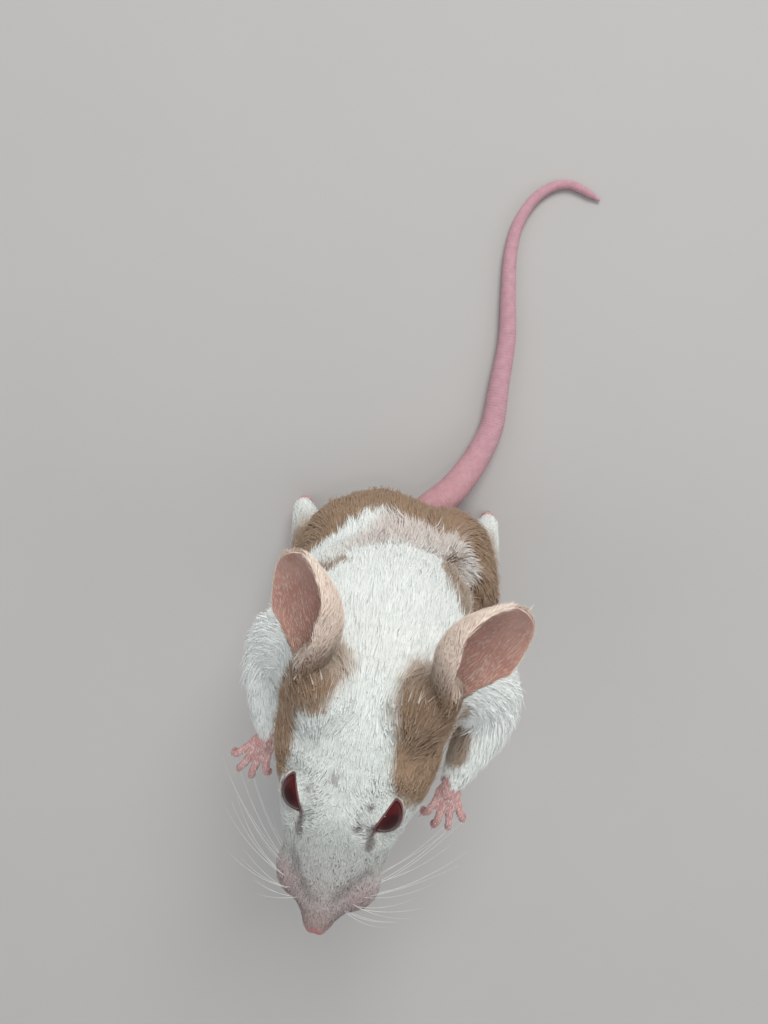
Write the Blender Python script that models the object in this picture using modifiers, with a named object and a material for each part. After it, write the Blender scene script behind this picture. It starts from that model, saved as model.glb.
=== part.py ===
"""Pet mouse standing up on its hind feet, life size, as solids.

The mouse faces -Y, its left side is +X and it stands on z = 0.  The head, trunk and limbs
are modelled as overlapping masses, fused into one body and parted again with thin cuts.
All sizes are named in millimetres and turned into metres by MM.
"""

import math
from collections import namedtuple

import bmesh
import bpy
from mathutils import Matrix, Vector

MM = 0.001
GAP = 0.3 * MM                 # clear slit between two pieces that meet
UP = Vector((0, 0, 1))

# One oval section across the body: its middle, half its width, and its reach towards the
# back and towards the belly.
Station = namedtuple("Station", "x y z half_width back belly")

# The trunk, from the root of the tail up to the nape.
TRUNK = (
    Station(-1.2, -2.4, 9.8, 5.0, 3.8, 4.2),
    Station(-1.8, -5.2, 10.8, 9.4, 7.2, 6.6),
    Station(-2.3, -9.3, 12.8, 11.6, 9.4, 8.4),
    Station(-2.5, -13.4, 17.8, 11.8, 8.0, 10.4),
    Station(-2.3, -15.8, 23.6, 11.8, 8.7, 10.8),
    Station(-1.8, -17.6, 29.6, 11.6, 9.5, 9.8),
    Station(-1.3, -19.8, 35.2, 10.8, 9.0, 8.4),
    Station(-1.0, -22.6, 39.2, 9.8, 7.9, 7.4),
    Station(-1.0, -25.6, 41.4, 8.8, 6.6, 6.4),
)

# The head, in its own frame: the middle between the eyes is the origin, the nose is at -Y.
HEAD_PLACE = Vector((-1.0, -31.4, 42.6)) * MM
HEAD_PITCH = math.radians(5)       # nose up
HEAD_ROLL = math.radians(3)        # left side up
HEAD = (
    Station(0, 10.0, -0.8, 8.4, 5.2, 6.0),
    Station(0, 6.4, -0.4, 9.0, 6.1, 6.6),
    Station(0, 2.6, -0.1, 8.4, 6.3, 6.8),
    Station(0, -0.8, 0.0, 7.2, 5.9, 6.4),
    Station(0, -4.0, -0.2, 5.9, 4.9, 5.6),
    Station(0, -6.9, -0.5, 5.2, 4.0, 4.8),
    Station(0, -9.3, -0.6, 4.3, 3.2, 4.0),
    Station(0, -11.4, -0.4, 2.9, 2.4, 3.0),
    Station(0, -13.3, -0.2, 1.8, 1.6, 2.0),
    Station(0, -14.8, -0.1, 1.3, 1.1, 1.3),
)
EYE_RADIUS = 1.95
EYE = Vector((4.55, -0.2, 2.7))           # of the left eye, in the head's frame

# The ears: root, tip and the way the cup opens, left and right.
EAR_WIDTH = 10.6
EAR_CUP = 2.5                  # depth of the hollow
EAR_THICKNESS = 0.6
EARS = {
    "left": ((4.4, -21.8, 45.8), (10.3, -9.2, 52.0), (0.50, -0.34, 0.79)),
    "right": ((-6.8, -22.0, 46.0), (-11.3, -8.8, 51.6), (-0.62, -0.28, 0.73)),
}

# Limbs: joints as (x, y, z, radius), from the body outwards.
ARMS = {
    "left": ((7.4, -19.6, 33.6, 5.4), (12.0, -21.4, 29.6, 4.5), (12.7, -25.0, 29.4, 3.4),
             (11.4, -29.4, 30.6, 2.3), (10.3, -33.4, 31.2, 1.6)),
    "right": ((-9.0, -19.6, 33.6, 5.4), (-12.4, -21.6, 29.4, 4.4), (-13.1, -24.8, 29.4, 3.3),
              (-12.2, -29.0, 30.6, 2.2), (-11.4, -33.0, 31.2, 1.6)),
}
WRIST = {"left": (10.4, -32.4, 31.2), "right": (-11.5, -32.0, 31.2)}
PAW_TURN = {"left": math.radians(2), "right": math.radians(-20)}     # away from straight ahead
THIGHS = {
    "left": ((4.4, -8.6, 13.4, 7.2), (7.2, -12.6, 12.0, 6.2), (9.0, -16.6, 9.6, 4.4)),
    "right": ((-8.0, -9.8, 13.4, 7.2), (-10.4, -14.2, 12.0, 6.2), (-12.0, -18.4, 9.6, 4.4)),
}
SHANKS = {
    "left": ((9.0, -16.0, 9.2, 4.0), (9.8, -9.0, 6.0, 3.1), (10.2, -2.9, 3.4, 1.9)),
    "right": ((-12.0, -17.8, 9.2, 4.0), (-14.4, -12.0, 6.0, 3.1), (-17.2, -6.6, 3.4, 1.9)),
}
ANKLE_Z = 3.4
HEEL = {"left": (10.2, -2.4), "right": (-17.5, -6.1)}
FOOT_TURN = {"left": math.radians(5), "right": math.radians(8)}      # towards +X

# The hind foot in its own frame, heel at the origin: (y, half width, height).
FOOT = ((1.3, 0.7, 2.2), (0.4, 1.3, 3.4), (-1.6, 1.4, 3.3), (-5.0, 1.45, 2.2), (-8.5, 1.9, 2.0),
        (-10.6, 2.2, 1.9), (-11.9, 1.8, 1.5))
# Toes: root x and y, tip x and y, radius.
TOES = ((-1.9, -8.2, -3.2, -11.6, 0.62), (-1.5, -10.8, -2.6, -16.2, 0.62), (-0.1, -11.2, -0.3, -17.3, 0.64),
        (1.4, -10.9, 2.0, -16.4, 0.62), (1.9, -8.8, 3.1, -12.6, 0.62))
# Fingers of the forepaw, from the wrist: root x and y, tip x, y and z.
FINGERS = ((-1.25, -2.4, -2.3, -5.2, -1.5), (-0.45, -3.0, -0.8, -6.6, -1.5),
           (0.5, -3.0, 0.9, -6.5, -1.5), (1.3, -2.3, 2.4, -5.0, -1.5))
FINGER_RADIUS = 0.48

# The tail: (x, y, radius, height of its middle or None where it lies on the floor).
TAIL = (
    (-0.8, -6.0, 2.6, 9.4),
    (1.2, -2.8, 2.4, 8.0),
    (4.1, 1.2, 2.15, 5.4),
    (6.4, 6.2, 1.95, 2.9),
    (7.7, 11.6, 1.75, None),
    (7.4, 18.0, 1.50, None),
    (7.0, 25.0, 1.30, None),
    (5.7, 31.5, 1.12, None),
    (4.7, 37.5, 0.98, None),
    (4.9, 42.6, 0.86, None),
    (7.0, 47.2, 0.76, None),
    (10.8, 49.5, 0.66, None),
    (16.0, 48.2, 0.50, None),
)
TAIL_FLAT = 0.93               # the middle of the lying tail, as a part of its radius
TAIL_CUTS = (5, 9)             # the joints of TAIL where one length ends and the next starts

# Slits across the trunk: middle, the way it faces, radius.
SLITS = (
    ((-1.0, -25.2, 41.2), (0.0, -0.80, 0.60), 13.0),      # head from neck
    ((-1.1, -21.0, 37.6), (0.0, -0.62, 0.78), 16.0),      # neck from chest
    ((-2.0, -16.8, 26.2), (0.0, -0.30, 0.95), 19.0),      # chest from belly
    ((-2.4, -11.4, 16.0), (0.0, -0.45, 0.89), 19.0),      # belly from rump
)
# Each limb is what lies inside an oval: its middle and radii.
LIMB_OVALS = {
    "arm_left": ((12.4, -26.0, 30.2), (6.6, 12.0, 6.8)),
    "arm_right": ((-13.9, -26.0, 30.2), (6.6, 12.0, 6.8)),
    "leg_left": ((12.2, -11.5, 8.5), (8.6, 14.5, 12.5)),
    "leg_right": ((-14.4, -14.2, 8.5), (8.6, 14.5, 12.5)),
}
TRUNK_PARTS = {
    "head": (-1, -31, 42), "neck": (-1, -23, 39.5), "chest": (-1.6, -18.5, 32), "belly": (-2.4, -14.5, 21),
    "rump": (-2.5, -7.5, 11),
}

BODY_VOXEL = 0.5
FOOT_VOXEL = 0.26
BODY_TRIANGLES = 2900
FOOT_TRIANGLES = 400
PAW_TRIANGLES = 330

COLORS = {
    "coat_white": (0.78, 0.80, 0.77), "coat_fawn": (0.42, 0.33, 0.24), "skin_pink": (0.72, 0.47, 0.45),
    "ear_skin": (0.60, 0.42, 0.37), "tail_skin": (0.66, 0.55, 0.58), "eye_ruby": (0.09, 0.008, 0.008),
}
ROUGHNESS = {"eye_ruby": 0.08, "ear_skin": 0.6, "skin_pink": 0.55, "tail_skin": 0.55}


def clear_scene():
    for obj in list(bpy.data.objects):
        bpy.data.objects.remove(obj, do_unlink=True)


def collection(name):
    group = bpy.data.collections.new(name)
    bpy.context.scene.collection.children.link(group)
    return group


def material(name):
    made = bpy.data.materials.get(name)
    if made is None:
        made = bpy.data.materials.new(name)
        made.use_nodes = True
        shader = made.node_tree.nodes["Principled BSDF"]
        shader.inputs["Base Color"].default_value = (*COLORS[name], 1.0)
        shader.inputs["Roughness"].default_value = ROUGHNESS.get(name, 0.85)
    return made


def new_object(name, mesh_or_curve, group):
    obj = bpy.data.objects.new(name, mesh_or_curve)
    group.objects.link(obj)
    return obj


def object_from_bmesh(name, shape, group):
    bmesh.ops.recalc_face_normals(shape, faces=shape.faces)
    mesh = bpy.data.meshes.new(name)
    shape.to_mesh(mesh)
    shape.free()
    return new_object(name, mesh, group)


def settle(obj):
    """Makes the modifiers' result the object's own mesh."""
    bpy.context.view_layer.update()
    seen = obj.evaluated_get(bpy.context.evaluated_depsgraph_get())
    mesh = bpy.data.meshes.new_from_object(seen)
    obj.modifiers.clear()
    obj.data = mesh
    return obj


def curve_point(rows, place):
    """The value at a place along the rows, on a smooth curve through them all."""
    index = min(int(place), len(rows) - 2)
    part = place - index
    before = rows[max(index - 1, 0)]
    start, end = rows[index], rows[index + 1]
    after = rows[min(index + 2, len(rows) - 1)]
    values = []
    for p0, p1, p2, p3 in zip(before, start, end, after):
        slope_in, slope_out = (p2 - p0) / 2, (p3 - p1) / 2
        bend = 2 * p1 - 2 * p2 + slope_in + slope_out
        lift = 3 * p2 - 3 * p1 - 2 * slope_in - slope_out
        values.append(p1 + slope_in * part + lift * part ** 2 + bend * part ** 3)
    return values


def smooth_rows(rows, steps):
    count = (len(rows) - 1) * steps
    return [curve_point(rows, index / steps) for index in range(count + 1)]


def bridge(shape, rings):
    """Skins a row of rings and closes both ends."""
    for first, second in zip(rings, rings[1:]):
        for index in range(len(first)):
            following = (index + 1) % len(first)
            shape.faces.new((first[index], first[following], second[following], second[index]))
    shape.faces.new(rings[0])
    shape.faces.new(rings[-1])


def loft(name, stations, group, sides=36, steps=5):
    """A skin over oval sections that stand square to the line through their middles."""
    rows = smooth_rows(stations, steps)
    shape = bmesh.new()
    rings = []
    for index, row in enumerate(rows):
        before, after = rows[max(index - 1, 0)], rows[min(index + 1, len(rows) - 1)]
        along = (Vector(after[:3]) - Vector(before[:3])).normalized()
        back = along.cross(Vector((1, 0, 0))).normalized()
        side = back.cross(along)
        section = Station(*row)
        ring = []
        for step in range(sides):
            turn = math.tau * step / sides
            reach = section.back if math.sin(turn) > 0 else section.belly
            point = Vector(row[:3]) + side * section.half_width * math.cos(turn)
            point += back * reach * math.sin(turn)
            ring.append(shape.verts.new(point * MM))
        rings.append(ring)
    bridge(shape, rings)
    return object_from_bmesh(name, shape, group)


def ball(name, middle, radii, group, turn=None, across=24):
    shape = bmesh.new()
    place = Matrix.Translation(Vector(middle) * MM)
    if turn is not None:
        place = place @ turn
    place = place @ Matrix.Diagonal((*[r * MM for r in radii], 1))
    bmesh.ops.create_uvsphere(shape, u_segments=across, v_segments=across * 2 // 3, radius=1, matrix=place)
    return object_from_bmesh(name, shape, group)


def tube(name, joints, group, resolution):
    """The mesh of a round tube that tapers along its joints, each (x, y, z, radius)."""
    curve = bpy.data.curves.new(name, "CURVE")
    curve.dimensions = "3D"
    curve.bevel_depth = MM
    curve.bevel_resolution = resolution
    curve.use_fill_caps = True
    spline = curve.splines.new("POLY")
    spline.points.add(len(joints) - 1)
    for point, (x, y, z, radius) in zip(spline.points, joints):
        point.co = (x * MM, y * MM, z * MM, 1)
        point.radius = radius
    path = new_object(name, curve, group)
    bpy.context.view_layer.update()
    mesh = bpy.data.meshes.new_from_object(path.evaluated_get(bpy.context.evaluated_depsgraph_get()))
    bpy.data.objects.remove(path)
    shape = bmesh.new()
    shape.from_mesh(mesh)
    bmesh.ops.remove_doubles(shape, verts=shape.verts, dist=MM / 1000)
    return shape


def limb(name, joints, group):
    """A round limb that tapers from joint to joint, with rounded ends."""
    shape = tube(name, smooth_rows(joints, 5), group, resolution=6)
    for x, y, z, radius in (joints[0], joints[-1]):
        place = Matrix.Translation(Vector((x, y, z)) * MM)
        bmesh.ops.create_uvsphere(shape, u_segments=20, v_segments=12, radius=radius * MM, matrix=place)
    return object_from_bmesh(name, shape, group)


def fuse(name, masses, group, voxel, relax, triangles):
    """Overlapping masses made one body, relaxed, then thinned to about that many triangles."""
    shape = bmesh.new()
    for mass in masses:
        mass.data.transform(mass.matrix_world)
        shape.from_mesh(mass.data)
        bpy.data.objects.remove(mass)
    mesh = bpy.data.meshes.new(name)
    shape.to_mesh(mesh)
    shape.free()
    body = new_object(name, mesh, group)
    remesh = body.modifiers.new("one skin", "REMESH")
    remesh.mode = "VOXEL"
    remesh.voxel_size = voxel * MM
    smooth = body.modifiers.new("relax", "SMOOTH")
    smooth.factor = 0.5
    smooth.iterations = relax
    settle(body)
    triangulate = body.modifiers.new("triangles", "TRIANGULATE")
    triangulate.min_vertices = 4
    settle(body)
    thin = body.modifiers.new("thin out", "DECIMATE")
    thin.ratio = min(1.0, triangles / len(body.data.polygons))
    thin.use_collapse_triangulate = True
    return settle(body)


def cut(obj, cutter, operation="DIFFERENCE"):
    """Takes the cutter's space out of the object, or keeps only what is inside it."""
    cutter.hide_render = True
    cutter.display_type = "WIRE"
    boolean = obj.modifiers.new("cut", "BOOLEAN")
    boolean.operation = operation
    boolean.solver = "EXACT"
    boolean.object = cutter
    settle(obj)
    bpy.data.objects.remove(cutter)
    return obj


def facing(direction):
    """The turn that takes +Z to a direction."""
    return UP.rotation_difference(Vector(direction)).to_matrix().to_4x4()


def disc(middle, direction, radius, depth, group):
    shape = bmesh.new()
    place = Matrix.Translation(middle) @ facing(direction)
    bmesh.ops.create_cone(shape, cap_ends=True, segments=48, radius1=radius, radius2=radius, depth=depth,
                          matrix=place)
    return object_from_bmesh("disc", shape, group)


def grown_copy(obj, by, group):
    """A copy of a piece with its skin moved out, to cut the gap that its neighbour keeps."""
    copy = new_object(obj.name + "_clearance", obj.data.copy(), group)
    grow = copy.modifiers.new("clearance", "DISPLACE")
    grow.strength = by
    grow.mid_level = 0
    return settle(copy)


def take_limb(body, name, works, group):
    """Parts one limb from the body, along an oval that leaves the gap between them."""
    middle, radii = LIMB_OVALS[name]
    oval = ball("oval", middle, radii, works, across=20)
    inner = ball("inner_oval", middle, [radius - GAP / MM for radius in radii], works, across=20)
    taken = new_object(name, body.data.copy(), group)
    cut(taken, inner, operation="INTERSECT")
    cut(body, oval)
    return taken


def head_turn():
    place = Matrix.Translation(HEAD_PLACE)
    return place @ Matrix.Rotation(-HEAD_PITCH, 4, "X") @ Matrix.Rotation(-HEAD_ROLL, 4, "Y")


def head_masses(group):
    masses = [loft("skull", HEAD, group)]
    for side in (-1, 1):
        masses.append(ball("cheek", (side * 4.0, 1.2, -2.6), (3.3, 5.6, 3.9), group))
        masses.append(ball("whisker_pad", (side * 2.75, -8.9, -0.9), (2.95, 3.25, 2.6), group))
        masses.append(ball("brow", (side * 3.7, -0.4, 2.3), (2.5, 3.6, 2.2), group))
    masses.append(ball("nose", (0, -12.7, -0.1), (1.6, 1.6, 1.4), group))
    masses.append(ball("chin", (0, -6.2, -3.6), (2.2, 4.6, 2.0), group))
    for mass in masses:
        mass.data.transform(head_turn())
    return masses


def body_masses(group):
    masses = [loft("trunk", TRUNK, group)] + head_masses(group)
    for side in ("left", "right"):
        masses.append(limb("arm", ARMS[side], group))
        masses.append(limb("thigh", THIGHS[side], group))
        masses.append(limb("shank", SHANKS[side], group))
    return masses


def hind_foot(side, group, works):
    """A long flat foot: heel, sole and five toes."""
    stations = [Station(0, y, height / 2 - 0.12, width, height / 2, height / 2) for y, width, height in FOOT]
    masses = [loft("sole", stations, works, sides=20)]
    for root_x, root_y, tip_x, tip_y, radius in TOES:
        mirrored = 1 if side == "left" else -1
        knuckle = ((root_x + tip_x) / 2 * mirrored, (root_y + tip_y) / 2, 1.05, radius)
        masses.append(limb("toe", ((root_x * mirrored, root_y, 0.8, radius), knuckle,
                                   (tip_x * mirrored, tip_y, 0.5, radius * 0.9)), works))
    foot = fuse("hind_foot_" + side, masses, group, FOOT_VOXEL, 3, FOOT_TRIANGLES)
    x, y = HEEL[side]
    place = Matrix.Translation(Vector((x, y, 0)) * MM)
    foot.data.transform(place @ Matrix.Rotation(FOOT_TURN[side], 4, "Z"))
    cut(foot, disc(Vector((x, y - 8, -5)) * MM, UP, 0.03, 10 * MM, works))
    top = Vector((x, y, ANKLE_Z)) * MM - UP * GAP
    return cut(foot, disc(top + UP * 3 * MM, UP, 6 * MM, 6 * MM, works))


def forepaw(side, group, works):
    """A small hand held palm down, its four fingers bent a little."""
    masses = [ball("palm", (0, -1.9, -0.2), (1.75, 2.1, 1.0), works),
              limb("wrist", ((0, 2.2, 0.1, 1.4), (0, -0.8, 0, 1.25)), works)]
    for root_x, root_y, tip_x, tip_y, tip_z in FINGERS:
        knuckle = ((root_x + tip_x) / 2, (root_y + tip_y) / 2, 0.15, FINGER_RADIUS)
        masses.append(limb("finger", ((root_x, root_y, 0, FINGER_RADIUS), knuckle,
                                      (tip_x, tip_y, tip_z, FINGER_RADIUS)), works))
    paw = fuse("forepaw_" + side, masses, group, FOOT_VOXEL, 2, PAW_TRIANGLES)
    wrist = Vector(WRIST[side]) * MM
    place = Matrix.Translation(wrist) @ Matrix.Rotation(PAW_TURN[side], 4, "Z")
    paw.data.transform(place @ Matrix.Rotation(math.radians(8), 4, "X"))
    back = place.to_3x3() @ Vector((0, 1, 0))
    return cut(paw, disc(wrist + back * (3 * MM - GAP), back, 4 * MM, 6 * MM, works))


def trim_wrist(body, side, works):
    """Ends the forearm squarely, where the paw starts."""
    wrist = Vector(WRIST[side]) * MM
    ahead = Matrix.Rotation(PAW_TURN[side], 3, "Z") @ Vector((0, -1, 0))
    return cut(body, disc(wrist + ahead * 3 * MM, ahead, 4 * MM, 6 * MM, works))


def trim_ankle(body, side, works):
    x, y = HEEL[side]
    return cut(body, disc(Vector((x, y, ANKLE_Z - 3)) * MM, UP, 5 * MM, 6 * MM, works))


def eye(side, group):
    sign = 1 if side == "left" else -1
    obj = ball("eye_" + side, (0, 0, 0), (EYE_RADIUS,) * 3, group, across=12)
    middle = head_turn() @ (Vector((sign * EYE.x, EYE.y, EYE.z)) * MM)
    obj.data.transform(Matrix.Translation(middle))
    return obj


def ear_frame(side):
    root, tip, opening = (Vector(values) for values in EARS[side])
    along = (tip - root).normalized()
    across = along.cross(opening).normalized()
    if side == "right":
        across = -across
    out = along.cross(across) if side == "right" else across.cross(along)
    return root, (tip - root).length, along, across, out


def ear(side, group):
    """A thin cupped leaf: narrow at the root, broad and round at the tip."""
    root, length, along, across, out = ear_frame(side)
    shape = bmesh.new()
    bmesh.ops.create_grid(shape, x_segments=8, y_segments=9, size=1)
    for vert in shape.verts:
        place, reach = vert.co.x, (vert.co.y + 1) / 2
        half = EAR_WIDTH / 2 * max(0.0, math.sin(math.pi * (0.14 + 0.86 * reach) ** 1.2)) ** 0.72
        deep = 0.35 + 0.65 * math.sin(math.pi * min(1, 0.1 + reach * 0.8))
        hollow = EAR_CUP * (1 - (1 - reach) ** 3 * 0.4) * (abs(place) ** 2.2 - 1) * deep
        curl = 0.9 * max(0.0, -place) ** 3 * math.sin(math.pi * reach)
        lean = -0.8 * math.sin(math.pi * reach)
        point = root + along * length * reach + across * half * place + out * (hollow + curl + lean)
        vert.co = point * MM
    bmesh.ops.remove_doubles(shape, verts=shape.verts, dist=0.05 * MM)
    leaf = object_from_bmesh("ear_" + side, shape, group)
    wall = leaf.modifiers.new("wall", "SOLIDIFY")
    wall.thickness = EAR_THICKNESS * MM
    wall.offset = 0
    return settle(leaf)


def tail_rows(first, last):
    rows = []
    for x, y, radius, height in TAIL:
        rows.append((x, y, radius * TAIL_FLAT if height is None else height, radius))
    steps = 2
    return [curve_point(rows, index / steps) for index in range(first * steps, last * steps + 1)]


def tail_length(name, first, last, group):
    """One length of the tail: a round tapering tube with a narrow flat where it lies."""
    rows = tail_rows(first, last)
    if first > 0:
        start, following = Vector(rows[0][:3]), Vector(rows[1][:3])
        start += (following - start).normalized() * GAP / MM
        rows[0][:3] = start
    if last == len(TAIL) - 1:
        rows[-1][3] *= 0.6
    shape = tube(name, rows, group, resolution=3)
    for vert in shape.verts:
        vert.co.z = max(vert.co.z, 0.0)
    return object_from_bmesh(name, shape, group)


def part_body(body, group):
    """Separates the slit body into its loose pieces and names each by where it lies."""
    bpy.ops.object.select_all(action="DESELECT")
    body.select_set(True)
    bpy.context.view_layer.objects.active = body
    bpy.ops.mesh.separate(type="LOOSE")
    pieces = list(bpy.context.selected_objects)
    if len(pieces) != len(TRUNK_PARTS):
        raise RuntimeError(f"the cuts left {len(pieces)} pieces, not {len(TRUNK_PARTS)}")
    named = {}
    for name, place in TRUNK_PARTS.items():
        nearest = min(pieces, key=lambda piece: (middle_of(piece) - Vector(place) * MM).length)
        pieces.remove(nearest)
        nearest.name = name
        named[name] = nearest
    return named


def middle_of(obj):
    total = Vector((0, 0, 0))
    for vert in obj.data.vertices:
        total += vert.co
    return total / len(obj.data.vertices)


def finish(obj, material_name):
    obj.data.materials.clear()
    obj.data.materials.append(material(material_name))
    obj.data.shade_smooth()


def centre_on_floor(objects):
    """Moves the mouse so that the middle of its box is over the origin."""
    points = [vert.co for obj in objects for vert in obj.data.vertices]
    low = Vector(min(point[axis] for point in points) for axis in range(3))
    high = Vector(max(point[axis] for point in points) for axis in range(3))
    shift = Vector((-(low.x + high.x) / 2, -(low.y + high.y) / 2, 0))
    for obj in objects:
        obj.data.transform(Matrix.Translation(shift))


def main():
    clear_scene()
    mouse = collection("mouse")
    works = collection("cutters")
    body = fuse("body", body_masses(works), mouse, BODY_VOXEL, 8, BODY_TRIANGLES)
    eyes = {side: eye(side, mouse) for side in ("left", "right")}
    for side in ("left", "right"):
        middle = middle_of(eyes[side])
        socket = ball("socket", middle / MM, (EYE_RADIUS + GAP / MM,) * 3, works, across=12)
        cut(body, socket)
        trim_wrist(body, side, works)
        trim_ankle(body, side, works)
        take_limb(body, "arm_" + side, works, mouse)
        take_limb(body, "leg_" + side, works, mouse)
    for middle, direction, radius in SLITS:
        cut(body, disc(Vector(middle) * MM, direction, radius * MM, GAP, works))
    parts = part_body(body, mouse)

    for side in ("left", "right"):
        hind_foot(side, mouse, works)
        forepaw(side, mouse, works)
        leaf = ear(side, mouse)
        for neighbour in ("head", "neck"):
            cut(leaf, grown_copy(parts[neighbour], GAP, works))
    ends = (0,) + TAIL_CUTS + (len(TAIL) - 1,)
    lengths = {}
    for name, first, last in zip(("tail_root", "tail_middle", "tail_tip"), ends, ends[1:]):
        lengths[name] = tail_length(name, first, last, mouse)
    cut(lengths["tail_root"], grown_copy(parts["rump"], GAP, works))

    for obj in mouse.objects:
        if obj.name.startswith(("hind_foot", "forepaw")):
            finish(obj, "skin_pink")
        elif obj.name.startswith("ear"):
            finish(obj, "ear_skin")
        elif obj.name.startswith("eye"):
            finish(obj, "eye_ruby")
        elif obj.name.startswith("tail"):
            finish(obj, "tail_skin")
        elif obj.name == "rump":
            finish(obj, "coat_fawn")
        else:
            finish(obj, "coat_white")
    centre_on_floor(list(mouse.objects))


main()
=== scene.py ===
"""Pet mouse standing up on its hind feet: its skin, coat, eyes, claws and whiskers, and the studio."""

import math

import bmesh
import bpy
import numpy as np
from bpy.props import FloatProperty, FloatVectorProperty, IntProperty, PointerProperty
from mathutils import Matrix, Vector
from mathutils.bvhtree import BVHTree
from mathutils.kdtree import KDTree


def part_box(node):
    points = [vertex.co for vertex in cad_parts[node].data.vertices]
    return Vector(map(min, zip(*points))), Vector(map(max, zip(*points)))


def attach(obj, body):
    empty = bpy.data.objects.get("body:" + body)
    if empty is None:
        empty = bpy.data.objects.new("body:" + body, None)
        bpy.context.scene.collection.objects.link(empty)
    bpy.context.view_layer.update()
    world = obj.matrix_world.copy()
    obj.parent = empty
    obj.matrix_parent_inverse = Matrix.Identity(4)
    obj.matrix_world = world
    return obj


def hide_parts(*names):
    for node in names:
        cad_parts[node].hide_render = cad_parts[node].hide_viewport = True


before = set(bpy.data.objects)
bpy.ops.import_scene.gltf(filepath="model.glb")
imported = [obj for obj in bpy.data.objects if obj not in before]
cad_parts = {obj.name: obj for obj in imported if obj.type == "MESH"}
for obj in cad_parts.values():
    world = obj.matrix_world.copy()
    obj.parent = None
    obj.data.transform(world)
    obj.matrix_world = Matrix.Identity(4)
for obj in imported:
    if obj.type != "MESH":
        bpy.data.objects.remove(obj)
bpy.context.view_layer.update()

bl_info = {
    "name": "Pet mouse",
    "version": (1, 0, 0),
    "blender": (4, 5, 0),
    "location": "View3D > Sidebar > Mouse",
    "description": "Skin, coat, eyes, claws and whiskers of a pet mouse standing on its hind feet",
    "category": "Object",
}

MM = 0.001
UP = Vector((0, 0, 1))
BODY_NAME = "root"
SIDES = {"left": 1, "right": -1}

# The head's own frame, in millimetres: the nose is at -Y, the left side at +X.
HEAD_PITCH = math.radians(5)
HEAD_FLOOR = 34                 # height in the body's millimetres above which all is head or nape
BETWEEN_EYES = Vector((0, -0.2, 2.7))
HEAD_IN_BODY = Vector((-1.0, -31.4, 42.6))       # the head's origin, in the body's millimetres


def middle_of(node):
    """The middle of a solid's box."""
    low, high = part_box(node)
    return (low + high) / 2


def head_place():
    """The head's frame, worked out from the two eyes."""
    left, right = middle_of("eye_left"), middle_of("eye_right")
    across = (left - right).normalized()
    back = Vector((0, math.cos(HEAD_PITCH), -math.sin(HEAD_PITCH)))
    over = across.cross(back).normalized()
    turn = Matrix((across, over.cross(across), over)).transposed()
    return Matrix.Translation((left + right) / 2 - turn @ BETWEEN_EYES * MM) @ turn.to_4x4()


HEAD = head_place()
SHIFT = HEAD.translation - HEAD_IN_BODY * MM     # from the body's millimetres to the frame
HEAD_TURN = np.array(HEAD.to_3x3())


def spot(x, y, z):
    """A place given in the body's millimetres, in the frame."""
    return Vector((x, y, z)) * MM + SHIFT


def in_head(points):
    """Places in the frame, as the head's millimetres."""
    return (np.asarray(points) - np.array(HEAD.translation)) @ HEAD_TURN / MM


def in_body(points):
    """Places in the frame, as the body's millimetres."""
    return (np.asarray(points) - np.array(SHIFT)) / MM


# Pieces of the frame that the one skin stands for.
FLESH = ("head", "neck", "chest", "belly", "rump", "arm_left", "arm_right", "leg_left", "leg_right")
BARE = ("forepaw_left", "forepaw_right", "hind_foot_left", "hind_foot_right", "ear_left", "ear_right",
        "tail_root", "tail_middle", "tail_tip")

# Kinds of surface, as material slots of the skin.
FURRED, PAW, EAR, EAR_BACK, TAIL, NOSE = range(6)

# The limbs and feet: wrists and heels in the body's millimetres, turns away from straight ahead.
WRIST = {"left": (10.4, -32.4, 31.2), "right": (-11.5, -32.0, 31.2)}
PAW_TURN = {"left": math.radians(2), "right": math.radians(-20)}
PAW_DIP = math.radians(8)
HEEL = {"left": (10.2, -2.4, 0.0), "right": (-17.5, -6.1, 0.0)}
FOOT_TURN = {"left": math.radians(5), "right": math.radians(8)}
ANKLE_HEIGHT = 3.4
TAIL_ROOT = (0.2, -4.4, 8.9)

# The ears: root, tip and the way the cup opens.
EARS = {
    "left": ((6.7, -18.1, 47.3), (11.0, -8.9, 51.8), (0.50, -0.34, 0.79)),
    "right": ((-7.4, -18.2, 47.3), (-10.3, -8.4, 51.4), (-0.62, -0.28, 0.73)),
}

# The tail: (x, y, radius, height of its middle or None where it lies on the floor).
TAIL_JOINTS = (
    (-0.8, -6.0, 2.6, 9.4), (1.2, -2.8, 2.4, 8.0), (4.1, 1.2, 2.15, 5.4), (6.4, 6.2, 1.95, 2.9),
    (7.7, 11.6, 1.75, None), (7.4, 18.0, 1.50, None), (7.0, 25.0, 1.30, None), (5.7, 31.5, 1.12, None),
    (4.7, 37.5, 0.98, None), (4.9, 42.6, 0.86, None), (7.0, 47.2, 0.76, None), (10.8, 49.5, 0.66, None),
    (16.0, 48.2, 0.50, None),
)
TAIL_FLAT = 0.93


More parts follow.
